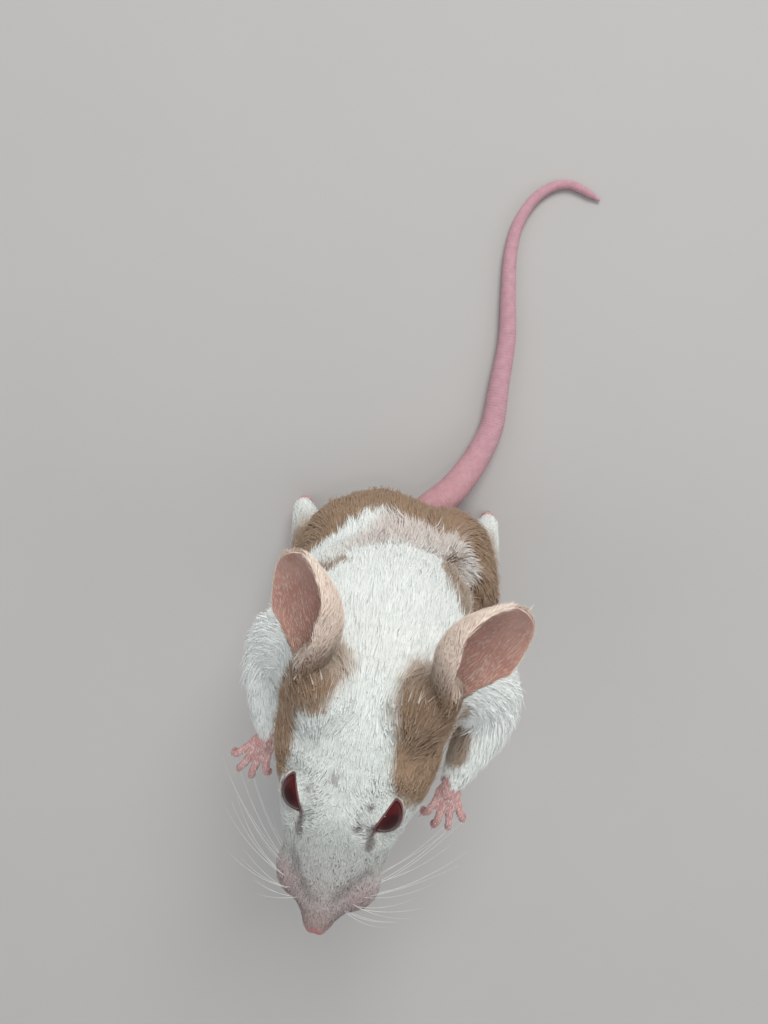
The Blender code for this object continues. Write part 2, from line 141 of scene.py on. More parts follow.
class MouseSizes(bpy.types.PropertyGroup):
    """Sizes that change how the mouse is made."""

    grain: FloatProperty(name="Skin grain", description="Edge length of the skin's mesh",
                         default=0.36 * MM, unit="LENGTH")
    fullness: FloatProperty(name="Fullness", description="Tufts grown for each one planned",
                            default=1.0, min=0.05, max=1.2, subtype="FACTOR")
    tuft_width: FloatProperty(name="Tuft width", description="Width of a tuft of the back",
                              default=0.14 * MM, unit="LENGTH")
    eye_radius: FloatProperty(name="Eye radius", description="Radius of each eyeball",
                              default=1.9 * MM, unit="LENGTH")
    whisker_width: FloatProperty(name="Whisker width", description="Width of a whisker at its root",
                                 default=0.04 * MM, unit="LENGTH")
    tail_pitch: FloatProperty(name="Tail rings", description="Distance from one ring of the tail to the next",
                              default=0.46 * MM, unit="LENGTH")
    seed: IntProperty(name="Seed", description="Start of the random draws", default=11)


def colour_property(name, description, default):
    return FloatVectorProperty(name=name, description=description, default=default, size=3,
                               min=0, max=1, subtype="COLOR")


class MouseColours(bpy.types.PropertyGroup):
    """Colours of the coat, the bare skin and the eyes."""

    white: colour_property("White", "Colour of the white coat", (0.905, 0.945, 0.925))
    fawn: colour_property("Fawn", "Colour of the fawn patches", (0.365, 0.248, 0.162))
    grey: colour_property("Grey", "Colour of the specks and of the muzzle's streaks", (0.20, 0.165, 0.165))
    paw: colour_property("Paw", "Colour of the bare paws", (0.53, 0.265, 0.255))
    ear: colour_property("Ear", "Colour of the inside of the ears", (0.47, 0.27, 0.22))
    tail: colour_property("Tail", "Colour of the tail", (0.59, 0.35, 0.40))
    nose: colour_property("Nose", "Colour of the nose and the rims of the eyes", (0.43, 0.195, 0.19))
    eye: colour_property("Eye", "Colour of the eyes", (0.085, 0.008, 0.009))
    claw: colour_property("Claw", "Colour of the claws", (0.80, 0.68, 0.62))
    floor: colour_property("Floor", "Colour of the studio floor", (0.50, 0.49, 0.48))


def sizes():
    return bpy.context.scene.mouse_sizes


def colours():
    return bpy.context.scene.mouse_colours


# ---------------------------------------------------------------- modelling

def only(obj):
    """Selects this object alone and makes it active."""
    bpy.ops.object.select_all(action="DESELECT")
    obj.select_set(True)
    bpy.context.view_layer.objects.active = obj


def applied(obj, name, kind, **settings):
    """Gives the object a modifier and applies it."""
    only(obj)
    modifier = obj.modifiers.new(name, kind)
    for key, value in settings.items():
        setattr(modifier, key, value)
    bpy.ops.object.modifier_apply(modifier=modifier.name)
    return obj


def joined(name, pieces):
    """The pieces as one object of that name."""
    bpy.ops.object.select_all(action="DESELECT")
    for piece in pieces:
        piece.select_set(True)
    bpy.context.view_layer.objects.active = pieces[0]
    bpy.ops.object.join()
    pieces[0].name = name
    pieces[0].data.name = name
    return pieces[0]


SMALL_BALL = 16                 # sides of the balls that end rods and pad toes


def ball(frame_turn, middle, radii, segments=28):
    """A ball with three radii, in millimetres of the frame given."""
    bpy.ops.object.select_all(action="DESELECT")
    bpy.ops.mesh.primitive_uv_sphere_add(segments=segments, ring_count=segments // 2, radius=MM)
    obj = bpy.context.object
    obj.data.transform(frame_turn @ Matrix.Translation(Vector(middle) * MM) @ Matrix.Diagonal((*radii, 1)))
    return obj


def smooth_path(points, steps):
    """More points on a smooth curve through all of them; each may carry a radius."""
    rows = np.array(points, float)
    padded = np.vstack((rows[:1], rows, rows[-1:]))
    made = []
    for index in range(len(rows) - 1):
        before, start, end, after = padded[index:index + 4]
        for step in range(steps):
            part = step / steps
            slope_in, slope_out = (end - before) / 2, (after - start) / 2
            bend = 2 * start - 2 * end + slope_in + slope_out
            lift = 3 * end - 3 * start - 2 * slope_in - slope_out
            made.append(start + slope_in * part + lift * part ** 2 + bend * part ** 3)
    made.append(rows[-1])
    return np.array(made)


def rod(frame_turn, joints, steps=4, resolution=5):
    """A round rod that tapers along its joints (x, y, z, radius) and has ball ends."""
    curve = bpy.data.curves.new("rod", "CURVE")
    curve.dimensions = "3D"
    curve.bevel_depth = MM
    curve.bevel_resolution = resolution
    curve.use_fill_caps = True
    path = smooth_path(joints, steps)
    spline = curve.splines.new("POLY")
    spline.points.add(len(path) - 1)
    for point, (x, y, z, radius) in zip(spline.points, path):
        point.co = (x * MM, y * MM, z * MM, 1)
        point.radius = radius
    obj = bpy.data.objects.new("rod", curve)
    bpy.context.scene.collection.objects.link(obj)
    only(obj)
    bpy.ops.object.convert(target="MESH")
    obj = bpy.context.object
    obj.data.transform(frame_turn)
    ends = [ball(frame_turn, joint[:3], (joint[3],) * 3, SMALL_BALL) for joint in (joints[0], joints[-1])]
    return joined("rod", [obj] + ends)


def fused(name, masses, voxel, relax):
    """Overlapping masses made one closed skin and relaxed."""
    obj = joined(name, masses)
    applied(obj, "one skin", "REMESH", mode="VOXEL", voxel_size=voxel * MM)
    applied(obj, "relax", "SMOOTH", factor=0.5, iterations=relax)
    applied(obj, "fewer faces", "DECIMATE", ratio=0.5)
    return obj


def shell(name, rings, endless=False):
    """A closed skin over a row of rings with as many points each; endless joins the last to the first."""
    count, around = rings.shape[:2]
    mesh = bpy.data.meshes.new(name)
    faces = []
    for row in range(count if endless else count - 1):
        other = (row + 1) % count
        for index in range(around):
            following = (index + 1) % around
            faces.append((row * around + index, row * around + following,
                          other * around + following, other * around + index))
    if not endless:
        faces.append(tuple(range(around)))
        faces.append(tuple(range((count - 1) * around, count * around)))
    mesh.from_pydata([tuple(point) for point in rings.reshape(-1, 3)], [], faces)
    shape = bmesh.new()
    shape.from_mesh(mesh)
    bmesh.ops.recalc_face_normals(shape, faces=shape.faces)
    shape.to_mesh(mesh)
    shape.free()
    obj = bpy.data.objects.new(name, mesh)
    bpy.context.scene.collection.objects.link(obj)
    return obj


def points_of(mesh):
    points = np.empty(len(mesh.vertices) * 3, np.float32)
    mesh.vertices.foreach_get("co", points)
    return points.reshape(-1, 3).astype(float)


def set_points(mesh, points):
    mesh.vertices.foreach_set("co", points.astype(np.float32).ravel())
    mesh.update()


def normals_of(mesh):
    normals = np.empty(len(mesh.vertices) * 3, np.float32)
    mesh.vertices.foreach_get("normal", normals)
    return normals.reshape(-1, 3).astype(float)


def tree_of(mesh):
    return BVHTree.FromPolygons([vertex.co for vertex in mesh.vertices],
                                [polygon.vertices[:] for polygon in mesh.polygons])


class Neighbours:
    """The edges of a mesh, to average a value over each point's neighbours."""

    def __init__(self, mesh):
        edges = np.empty(len(mesh.edges) * 2, np.int32)
        mesh.edges.foreach_get("vertices", edges)
        self.first, self.second = edges.reshape(-1, 2).T
        self.count = len(mesh.vertices)
        ones = np.bincount(self.first, minlength=self.count) + np.bincount(self.second, minlength=self.count)
        self.degree = np.maximum(ones, 1)[:, None]

    def average(self, values):
        total = np.empty_like(values)
        for axis in range(values.shape[1]):
            column = values[:, axis]
            total[:, axis] = (np.bincount(self.first, weights=column[self.second], minlength=self.count)
                              + np.bincount(self.second, weights=column[self.first], minlength=self.count))
        return total / self.degree


def ironed(points, neighbours, rounds, share=None):
    """Smooths points without shrinking them; share says how much each one takes part."""
    for _ in range(rounds):
        for push in (0.55, -0.565):
            moved = (neighbours.average(points) - points) * push
            points = points + (moved if share is None else moved * share)
    return points


def soft_step(values, low, high):
    """0 up to low and 1 from high on, with a smooth rise between them."""
    part = np.clip((values - low) / (high - low), 0, 1)
    return part * part * (3 - 2 * part)


def wobble(points, size, seed):
    """Smooth random waves about as wide as size, between -1 and 1."""
    draw = np.random.default_rng(seed)
    total = np.zeros(len(points))
    for _ in range(7):
        way = draw.normal(size=3)
        way *= draw.uniform(0.6, 1.6) / np.linalg.norm(way)
        total += np.sin(points @ way * math.tau / size + draw.uniform(0, math.tau))
    return total / 4.2


def to_line(points, line):
    """Distance of each point to a line through several points, and the nearest place along it (0 to 1)."""
    line = np.asarray(line, float)
    best = np.full(len(points), np.inf)
    along = np.zeros(len(points))
    for index, (start, end) in enumerate(zip(line, line[1:])):
        way = end - start
        part = np.clip((points - start) @ way / (way @ way), 0, 1)
        distance = np.linalg.norm(points - (start + part[:, None] * way), axis=1)
        nearer = distance < best
        best[nearer] = distance[nearer]
        along[nearer] = (index + part[nearer]) / (len(line) - 1)
    return best, along


def folded(points):
    """Places with the right half laid on the left."""
    return np.stack((np.abs(points[:, 0]), points[:, 1], points[:, 2]), axis=1)


def in_oval(points, middle, radii):
    """How deep points lie in an oval: 1 at its middle, 0 at its edge, negative outside."""
    return 1 - np.linalg.norm((points - np.array(middle)) / np.array(radii), axis=1)


# ---------------------------------------------------------------- the coat's plan

# The coat's length and depth on the body, then along the head and away from each bare place:
# distances, lengths and depths in millimetres.
COAT_LENGTH, COAT_DEPTH = 3.1, 1.0
ON_HEAD = ((-14, -12, -9, -5, -1, 3, 7, 11), (0.50, 0.62, 0.85, 1.1, 1.45, 1.9, 2.4, 2.8),
           (0.12, 0.16, 0.26, 0.34, 0.45, 0.65, 0.85, 1.0))
NEAR_PAW = ((0, 2, 5, 10), (0.6, 1.0, 1.9, COAT_LENGTH), (0.25, 0.4, 0.65, COAT_DEPTH))
NEAR_EYE = ((1.8, 2.6, 4.5), (0.45, 0.7, COAT_LENGTH), (0.2, 0.3, COAT_DEPTH))
NEAR_EAR = ((1.5, 4, 7), (1.9, 2.4, COAT_LENGTH), (0.65, 0.8, COAT_DEPTH))
NEAR_TAIL = ((1.5, 4, 8), (1.0, 1.8, COAT_LENGTH), (0.4, 0.7, COAT_DEPTH))
NEAR_CREASE = ((1.2, 3.0), (1.3, COAT_LENGTH))


def gap_to(points, place):
    """Distance of each point to a place."""
    return np.linalg.norm(points - np.array(place), axis=1)


def coat_measures(points):
    """The coat's length and depth over the skin, in millimetres, at places in the frame."""
    head, body = in_head(points), in_body(points)
    on_head = soft_step(-head[:, 1], -9.0, -4.0) * (body[:, 2] > HEAD_FLOOR)
    steps, lengths, depths = ON_HEAD
    length = np.full(len(points), COAT_LENGTH)
    depth = np.full(len(points), COAT_DEPTH)
    length += (np.interp(head[:, 1], steps, lengths) - length) * on_head
    depth += (np.interp(head[:, 1], steps, depths) - depth) * on_head
    bare = [(gap_to(body, TAIL_ROOT), NEAR_TAIL)]
    for side in SIDES:
        ankle = np.array(HEEL[side]) + (0, 0, ANKLE_HEIGHT)
        bare += [(gap_to(body, WRIST[side]), NEAR_PAW), (gap_to(body, ankle), NEAR_PAW),
                 (gap_to(points, eye_centre(side)) / MM, NEAR_EYE), (gap_to(body, EARS[side][0]), NEAR_EAR)]
    for gap, (steps, lengths, depths) in bare:
        length = np.minimum(length, np.interp(gap, steps, lengths))
        depth = np.minimum(depth, np.interp(gap, steps, depths))
    crease = to_line(body, LOIN_CREASE)[0]
    return np.minimum(length, np.interp(crease, *NEAR_CREASE)), depth


# The fold of skin across the loin, in the body's millimetres, from the right flank to the left.
LOIN_CREASE = ((-13.2, -15.8, 33.2), (-10.3, -12.3, 32.4), (-8.2, -10.2, 30.0), (-6.2, -8.6, 27.0),
               (-1.8, -7.0, 23.7), (2.0, -6.4, 22.4), (5.5, -7.3, 21.7), (8.8, -10.0, 20.4),
               (12.0, -13.8, 17.0), (13.0, -16.6, 14.5))

# Fawn patches: ovals in the head's or the body's millimetres.
HEAD_PATCHES = (
    ((-8.0, 4.4, 1.2), (2.6, 5.6, 6.5)),
    ((-7.2, 8.6, 3.4), (2.8, 3.6, 4.6)),
    ((-5.0, 10.2, 5.6), (3.0, 3.0, 4.2)),
    ((7.3, 6.0, 2.2), (4.1, 5.9, 7.5)),
    ((6.4, 9.9, 4.2), (4.1, 4.4, 5.6)),
)
BODY_PATCHES = (
    ((10.0, -11.4, 27.0), (5.6, 6.0, 7.6)),
    ((6.2, -8.6, 23.6), (2.4, 3.4, 3.4)),
    ((-8.9, -10.9, 32.2), (3.0, 2.4, 1.7)),
    ((9.4, -27.6, 32.5), (2.4, 3.0, 4.5)),
    ((8.4, -22.4, 36.4), (1.8, 2.6, 2.8)),
)
# Where the fawn pales towards the ears, in the head's millimetres.
EAR_BASES = (((-5.0, 12.6, 5.4), (3.9, 4.0, 4.6)), ((6.5, 12.9, 4.8), (4.2, 3.8, 5.0)))
PALE_FAWN = (0.58, 0.48, 0.40)
# The mouth from its middle to a corner, under the head.
MOUTH = ((0, -13.3, 0), (0.8, -12.95, 0), (1.5, -12.2, 0), (2.05, -11.2, 0))
RUMP_EDGE = 19.6                # height of the rump patch's upper edge
# Specks on the forehead: x, y, radius and strength; streaks on the muzzle and at the eyes' front corners.
SPECKS = ((-0.9, 2.2, 0.50, 0.5), (3.0, 0.3, 0.38, 0.8), (2.2, -2.0, 0.42, 0.85), (-3.4, 0.5, 0.40, 0.4))
STREAKS = (((-3.4, -6.8, 2.5), (-2.6, -9.1, 2.2), (-0.9, -10.8, 2.1)),
           ((4.0, -6.9, 2.2), (2.8, -8.0, 2.5), (1.5, -10.2, 2.2)))
EYE_CORNERS = (((-4.05, -1.7, 4.4), (-3.55, -4.1, 3.7)), ((3.95, -1.8, 4.4), (3.7, -3.9, 3.65)))
# How much of the white's red, green and blue is left from the nose to the nape: darker towards the nose,
# partly for the thinner fur there and partly as painted shade of the snout.
TONE_STEPS = (-14.5, -11, -8, -4.5, -1, 5, 10)
HEAD_TONES_AND_SHADE = ((0.41, 0.54, 0.64, 0.66, 0.86, 0.82, 1.0),
              (0.27, 0.46, 0.61, 0.66, 0.86, 0.83, 1.0),
              (0.26, 0.45, 0.60, 0.64, 0.85, 0.82, 1.0))
PADS = ((3.7, -9.4, 0.4), (2.7, 3.0, 2.8))      # where pink skin shows through the whisker pads
# How much the pink skin takes from red, green and blue on the pads, and in the band below the crease, where
# it is partly pink skin through thin fur and partly painted shade of the fold.
PAD_SHADE = (0.14, 0.28, 0.26)
CREASE_BAND_PINK_AND_SHADE = (0.20, 0.30, 0.33)


def fawn_share(points):
    """1 in the fawn patches and 0 in the white, with edges frayed by the hairs."""
    head, body = in_head(points), in_body(points)
    fray = 0.10 * wobble(body, 3.1, 5) + 0.06 * wobble(body, 1.1, 6)
    share = np.zeros(len(points))
    for middle, radii in HEAD_PATCHES:
        share = np.maximum(share, soft_step(in_oval(head, middle, radii) + fray, -0.08, 0.24))
    for middle, radii in BODY_PATCHES:
        share = np.maximum(share, 0.85 * soft_step(in_oval(body, middle, radii) + fray, -0.06, 0.28))
    edge = RUMP_EDGE - body[:, 2] + 3.4 * fray + 0.045 * np.minimum(body[:, 0] + 4, 0) ** 2
    behind = soft_step(body[:, 1] + fray * 6, -17.5, -14.5)
    above = soft_step(body[:, 2], 5.0, 8.5)
    return np.maximum(share, soft_step(edge, 0.0, 0.9) * behind * above)


def grey_share(points):
    """1 in the grey specks, in the streaks on the whisker pads and at the front corners of the eyes."""
    head = in_head(points)
    share = np.zeros(len(points))
    for x, y, radius, strength in SPECKS:
        off = np.hypot(head[:, 0] - x, head[:, 1] - y) / radius + 0.3 * wobble(head, 0.5, 3)
        share = np.maximum(share, strength * soft_step(-off, -1.3, -0.4) * (head[:, 2] > 3))
    for streak in STREAKS:
        distance = to_line(head, streak)[0] + 0.25 * wobble(head, 1.3, 4)
        share = np.maximum(share, 0.5 * soft_step(-distance, -1.1, -0.1))
    for corner in EYE_CORNERS:
        distance, part = to_line(head, corner)
        share = np.maximum(share, 0.85 * soft_step(-distance, -1.0 + 0.4 * part, -0.4 + 0.2 * part))
    return share * (head[:, 2] > -1.0)


def coat_colour(points):
    """Colour of the coat and of the skin under it, at places in the frame."""
    tint = colours()
    white, fawn, grey = (np.array(value) for value in (tint.white, tint.fawn, tint.grey))
    head, body = in_head(points), in_body(points)
    shade = 1 + 0.05 * wobble(body, 2.4, 8)
    colour = np.tile(white, (len(points), 1))
    on_head = soft_step(-head[:, 1], -12.0, -8.0) * soft_step(body[:, 2], 34, 37)
    # Painted shade on the snout, together with its thinner fur: the white darkens towards the nose.
    tone = np.stack([np.interp(head[:, 1], TONE_STEPS, values) for values in HEAD_TONES_AND_SHADE], axis=1)
    colour = colour * (1 + (tone - 1) * on_head[:, None])
    pads = soft_step(in_oval(folded(head), *PADS), -0.1, 0.8) * on_head
    colour = colour * (1 - pads[:, None] * PAD_SHADE)
    # Painted shade of the loin's fold, with some pink skin through thin fur, in a band just below the crease.
    crease = np.interp(body[:, 0], *np.transpose(LOIN_CREASE)[[0, 2]])
    band = soft_step(crease - body[:, 2], -0.4, 1.2) * soft_step(body[:, 2] - crease, -7.5, -4.0)
    band *= soft_step(body[:, 1], -16, -12) * soft_step(body[:, 0], -12, -4)
    colour = colour * (1 - band[:, None] * CREASE_BAND_PINK_AND_SHADE)
    for middle, radii in EAR_BASES:
        base = soft_step(in_oval(head, middle, radii) + 0.08 * wobble(body, 1.6, 7), -0.05, 0.3)
        colour = colour + (np.array(PALE_FAWN) * shade[:, None] - colour) * base[:, None]
    colour = colour + (fawn * shade[:, None] - colour) * fawn_share(points)[:, None]
    return colour + (grey - colour) * grey_share(points)[:, None]


# ---------------------------------------------------------------- the skin

GROWTH = 0.34                   # how far the solids grow to close the slits between them
EYE_FILL = 2.5                  # radius of the flesh round each eye, before it is moved in


def flesh_copy(node):
    """A merged copy of one solid of flesh, grown until it meets its neighbours."""
    obj = bpy.data.objects.new(node + "_mass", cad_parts[node].data.copy())
    bpy.context.scene.collection.objects.link(obj)
    only(obj)
    bpy.ops.object.mode_set(mode="EDIT")
    bpy.ops.mesh.select_all(action="SELECT")
    bpy.ops.mesh.remove_doubles(threshold=0.01 * MM)
    bpy.ops.object.mode_set(mode="OBJECT")
    return applied(obj, "grow", "DISPLACE", strength=GROWTH * MM, mid_level=0.0, direction="NORMAL")


def refined(obj, chooser):
    """Splits the faces whose middles the chooser picks into four."""
    mesh = obj.data
    centres = np.empty(len(mesh.polygons) * 3, np.float32)
    mesh.polygons.foreach_get("center", centres)
    picked = chooser(centres.reshape(-1, 3).astype(float))
    only(obj)
    bpy.context.tool_settings.mesh_select_mode = (False, False, True)
    bpy.ops.object.mode_set(mode="EDIT")
    bpy.ops.mesh.select_all(action="DESELECT")
    bpy.ops.object.mode_set(mode="OBJECT")
    mesh.polygons.foreach_set("select", picked)
    bpy.ops.object.mode_set(mode="EDIT")
    bpy.ops.mesh.subdivide(number_cuts=1)
    bpy.ops.object.mode_set(mode="OBJECT")
    return obj


def eye_centre(side):
    """The middle of the eyeball, a little deeper in the head than the solid that it stands for."""
    return middle_of("eye_" + side) + HEAD.to_3x3() @ Vector((-0.42 * SIDES[side], -0.15, 0.05)) * MM


def eye_axes(side):
    """The way an eye looks, its long axis towards the front corner, and the axis across both."""
    sign = SIDES[side]
    outward = Vector((sign * 0.58, -0.30, 0.76)).normalized()
    forward = Vector((sign * -0.45, -1.0, -0.10))
    forward = (forward - outward * forward.dot(outward)).normalized()
    turn = HEAD.to_3x3()
    return [np.array(turn @ axis) for axis in (outward, forward, outward.cross(forward))]


LID_LENGTH = math.radians(62)   # half the opening between the lids, along its long axis
LID_HEIGHT = math.radians(37)


def lid_reach(turn):
    """Angle from the middle of the eye to the edge of the lids, all the way round."""
    reach = 1 / np.sqrt((np.cos(turn) / LID_LENGTH) ** 2 + (np.sin(turn) / LID_HEIGHT) ** 2)
    return reach * (1 + 0.10 * np.abs(np.cos(turn)) ** 9)


def open_eye(points, side):
    """Lays the skin over the eyeball as lids, and sinks it inside their edge."""
    centre = np.array(eye_centre(side))
    outward, forward, across = eye_axes(side)
    away = (points - centre) / MM
    distance = np.linalg.norm(away, axis=1)
    near = distance < 5.0
    ways = away[near] / distance[near, None]
    tilt = np.arccos(np.clip(ways @ outward, -1, 1))
    reach = tilt / lid_reach(np.arctan2(ways @ across, ways @ forward))
    radius = sizes().eye_radius / MM
    start = distance[near]
    lid = np.clip(start, radius + 0.16, radius + 0.22 + 0.9 * np.clip(reach - 1.08, 0, None))
    sunk = radius - 0.35
    made = sunk + (lid - sunk) * soft_step(reach, 0.99, 1.09)
    share = (1 - soft_step(tilt, 1.25, 1.75)) * (1 - soft_step(start, radius + 0.9, radius + 2.0))
    points[near] = centre + ways * (start + (made - start) * share)[:, None] * MM
    return points


def mouth_gap(points):
    """Distance in millimetres to the line of the mouth, as seen from under the chin."""
    head = in_head(points)
    across = np.stack((np.abs(head[:, 0]), head[:, 1], np.zeros(len(head))), axis=1)
    return np.where(head[:, 2] < -0.9, to_line(across, MOUTH)[0], 99)


WHISKER_ROWS = 5


def whisker_root(row, place):
    """Where a whisker grows on the left of the muzzle, in the head's millimetres."""
    return (2.3 + 0.75 * place, -11.3 + 0.85 * place + 0.15 * row, 0.9 - 0.75 * row)


def shape_muzzle(points, normals):
    """Nose pad, nostrils, the groove below the nose, the line of the mouth and the whiskers' roots."""
    across = folded(in_head(points))
    push = 0.17 * np.exp(-(gap_to(across, (0.58, -14.5, 0.10)) / 0.50) ** 2)
    nostril = np.linalg.norm((across - (0.78, -14.6, -0.22)) / (0.30, 0.6, 0.23), axis=1)
    push -= 0.55 * np.exp(-nostril ** 2)
    groove = to_line(across, ((0, -15.0, 0.35), (0, -14.9, -0.4), (0, -14.4, -1.2), (0, -13.5, -2.0)))[0]
    push -= 0.22 * np.exp(-(groove / 0.20) ** 2)
    gap = mouth_gap(points)
    push += 0.16 * np.exp(-((gap - 0.60) / 0.35) ** 2) - 0.44 * np.exp(-(gap / 0.26) ** 2)
    for row in range(WHISKER_ROWS):
        for place in range(4):
            push += 0.07 * np.exp(-(gap_to(across, whisker_root(row, place)) / 0.30) ** 2)
    return points + normals * push[:, None] * MM


def crease_on(tree):
    """The loin's crease laid on a surface, as closely spaced places in the frame."""
    line = smooth_path(LOIN_CREASE, 60) * MM + np.array(SHIFT)
    return np.array([tree.find_nearest(Vector(place))[0] for place in line])


def nearest_of(line, points, reach):
    """Distance in millimetres to the nearest place of a dense line, and that place's number."""
    tree = KDTree(len(line))
    for index, place in enumerate(line):
        tree.insert(place, index)
    tree.balance()
    low, high = line.min(axis=0) - reach * MM, line.max(axis=0) + reach * MM
    gaps = np.full(len(points), 99.0)
    numbers = np.zeros(len(points), np.int32)
    for index in np.flatnonzero(np.all((points > low) & (points < high), axis=1)):
        place, number, gap = tree.find(points[index])
        gaps[index], numbers[index] = gap / MM, number
    return gaps, numbers


def fold_loin(points, normals, tree):
    """The crease across the loin and the plump fold below it."""
    line = crease_on(tree)
    gaps, numbers = nearest_of(line, points, 5)
    below = (points - line[numbers]) @ np.array((0, 0.4, -0.9)) / MM
    side = soft_step(below, -0.3, 0.5)
    part = numbers / (len(line) - 1)
    fade = soft_step(part, 0.0, 0.12) * (1 - soft_step(part, 0.88, 1.0))
    push = -0.95 * np.exp(-(gaps / 0.75) ** 2) + side * 0.65 * np.exp(-((gaps - 1.9) / 1.1) ** 2)
    push += (1 - side) * 0.15 * np.exp(-((gaps - 1.3) / 0.8) ** 2)
    return points + normals * (push * fade)[:, None] * MM


def set_slot(obj, index):
    """Gives an object all the skin's materials, and its faces the one with this number."""
    obj.data.materials.clear()
    for material in skin_materials():
        obj.data.materials.append(material)
    obj.data.polygons.foreach_set("material_index", np.full(len(obj.data.polygons), index, np.int32))
    return obj


# Where the limbs run out to wrists and heels, and the rump to the tail: rows of (x, y, z, radius).
FOREARMS = {
    "left": ((12.2, -26.6, 29.8, 2.6), (11.4, -29.4, 30.6, 2.2), (10.6, -32.0, 31.15, 1.6),
             (10.4, -33.1, 31.2, 1.3)),
    "right": ((-12.7, -26.4, 29.8, 2.6), (-12.2, -29.0, 30.6, 2.2), (-11.6, -31.5, 31.15, 1.6),
              (-11.4, -32.7, 31.2, 1.3)),
}
HOCKS = {
    "left": ((9.8, -9.0, 6.0, 3.1), (10.1, -4.6, 4.2, 2.2), (10.2, -3.0, 3.0, 1.6), (10.2, -2.6, 2.3, 1.35)),
    "right": ((-14.4, -12.0, 6.0, 3.1), (-16.6, -8.0, 4.2, 2.2), (-17.2, -6.6, 3.0, 1.6),
              (-17.4, -6.3, 2.3, 1.35)),
}
# Cores of the thighs and the trunk, well inside the solids.
THIGH_CORES = {"left": ((4.4, -8.6, 13.4, 6.0), (9.0, -16.6, 9.6, 3.4)),
               "right": ((-8.0, -9.8, 13.4, 6.0), (-12.0, -18.4, 9.6, 3.4))}
TRUNK_CORE = ((-1.0, -31.0, 42.0, 4.8), (-1.0, -24.0, 39.8, 6.3), (-1.6, -18.5, 32.0, 8.6),
              (-2.4, -14.5, 21.0, 8.6), (-2.5, -10.5, 12.5, 6.6))
TAIL_CORE = ((-2.0, -9.5, 11.5, 4.0), (-0.8, -6.0, 9.4, 3.1), (0.6, -3.9, 8.5, 2.6))
# The roots of the ears: reach along the ear, shifts inwards and back, and radius.
EAR_CORE = ((-0.66, 0.4, 1.2, 4.2), (-0.40, 0.7, 0.6, 3.8), (-0.18, 0.9, 0.1, 3.2), (-0.02, 0.9, -0.1, 2.5))


def largest_part(obj):
    """Keeps the largest loose part of an object, without the hollows left inside it."""
    only(obj)
    bpy.ops.object.mode_set(mode="EDIT")
    bpy.ops.mesh.select_all(action="SELECT")
    bpy.ops.mesh.separate(type="LOOSE")
    bpy.ops.object.mode_set(mode="OBJECT")
    parts = sorted(bpy.context.selected_objects, key=lambda part: len(part.data.vertices))
    for part in parts[:-1]:
        bpy.data.objects.remove(part)
    kept = parts[-1]
    kept.name = kept.data.name = "skin"
    return kept


def fillers():
    """Masses that close the eye sockets, the roots of ears and tail, the nose and the ends of the limbs."""
    body = Matrix.Translation(SHIFT)
    masses = [rod(body, FOREARMS[side]) for side in SIDES] + [rod(body, HOCKS[side]) for side in SIDES]
    masses.append(rod(body, TRUNK_CORE))
    masses += [rod(body, THIGH_CORES[side]) for side in SIDES]
    masses.append(rod(body, TAIL_CORE))
    masses.append(ball(HEAD, (0, -13.6, -0.1), (1.5, 1.35, 1.25)))
    for side in SIDES:
        root, length, along, across, out = ear_axes(side)
        joints = [(*(root + along * length * reach - across * inward - out * deep), radius)
                  for reach, inward, deep, radius in EAR_CORE]
        masses.append(rod(body, joints))
    for side in SIDES:
        middle = HEAD.inverted() @ eye_centre(side) / MM
        masses.append(ball(HEAD, middle, (EYE_FILL,) * 3, 40))
    return masses


SKIN_FACES = 0.58               # share of the skin's faces that is kept
NOSE_PAD = ((0, -14.65, -0.05), (1.2, 0.95, 1.1))


def body_skin():
    """One skin over the solids of flesh, as deep inside them as the coat is thick."""
    masses = [flesh_copy(node) for node in FLESH] + fillers()
    obj = joined("skin", masses)
    applied(obj, "one skin", "REMESH", mode="VOXEL", voxel_size=sizes().grain)
    obj = largest_part(obj)
    mesh = obj.data
    set_points(mesh, ironed(points_of(mesh), Neighbours(mesh), 60))
    eyes = [np.array(eye_centre(side)) for side in SIDES]

    def near_eyes(centres, reach):
        return np.min([gap_to(centres, eye) for eye in eyes], axis=0) < reach * MM

    def detailed(centres):
        crease = to_line(in_body(centres), LOIN_CREASE)[0] < 3.6
        return near_eyes(centres, 3.6) | (in_head(centres)[:, 1] < -6.5) | crease

    def finest(centres):
        return near_eyes(centres, 3.0) | (in_head(centres)[:, 1] < -12.9)

    refined(obj, detailed)
    refined(obj, finest)
    mesh = obj.data
    neighbours = Neighbours(mesh)
    points = ironed(points_of(mesh), neighbours, 12)
    set_points(mesh, points)
    depth = coat_measures(points)[1] + GROWTH
    depth = neighbours.average(depth[:, None])
    points = ironed(points - normals_of(mesh) * depth * MM, neighbours, 6)
    set_points(mesh, points)
    points = shape_muzzle(points, normals_of(mesh))
    points = fold_loin(points, normals_of(mesh), tree_of(mesh))
    points = ironed(points, neighbours, 2)
    for side in SIDES:
        points = open_eye(points, side)
    set_points(mesh, points)
    applied(obj, "fewer faces", "DECIMATE", ratio=SKIN_FACES)
    mesh = obj.data
    pad = in_oval(in_head(points_of(mesh)), *NOSE_PAD) > 0
    set_slot(obj, FURRED)
    mesh.polygons.foreach_set("material_index", [NOSE if pad[polygon.vertices[0]] else FURRED
                                                 for polygon in mesh.polygons])
    return obj


def forepaw_frame(side):
    """The hand's own frame: the wrist is its origin and the fingers point to -Y."""
    place = Matrix.Translation(spot(*WRIST[side])) @ Matrix.Rotation(PAW_TURN[side], 4, "Z")
    return place @ Matrix.Rotation(PAW_DIP, 4, "X")


def hind_foot_frame(side):
    """The foot's own frame: the heel is its origin, on the floor, and the toes point to -Y."""
    return Matrix.Translation(spot(*HEEL[side])) @ Matrix.Rotation(FOOT_TURN[side], 4, "Z")


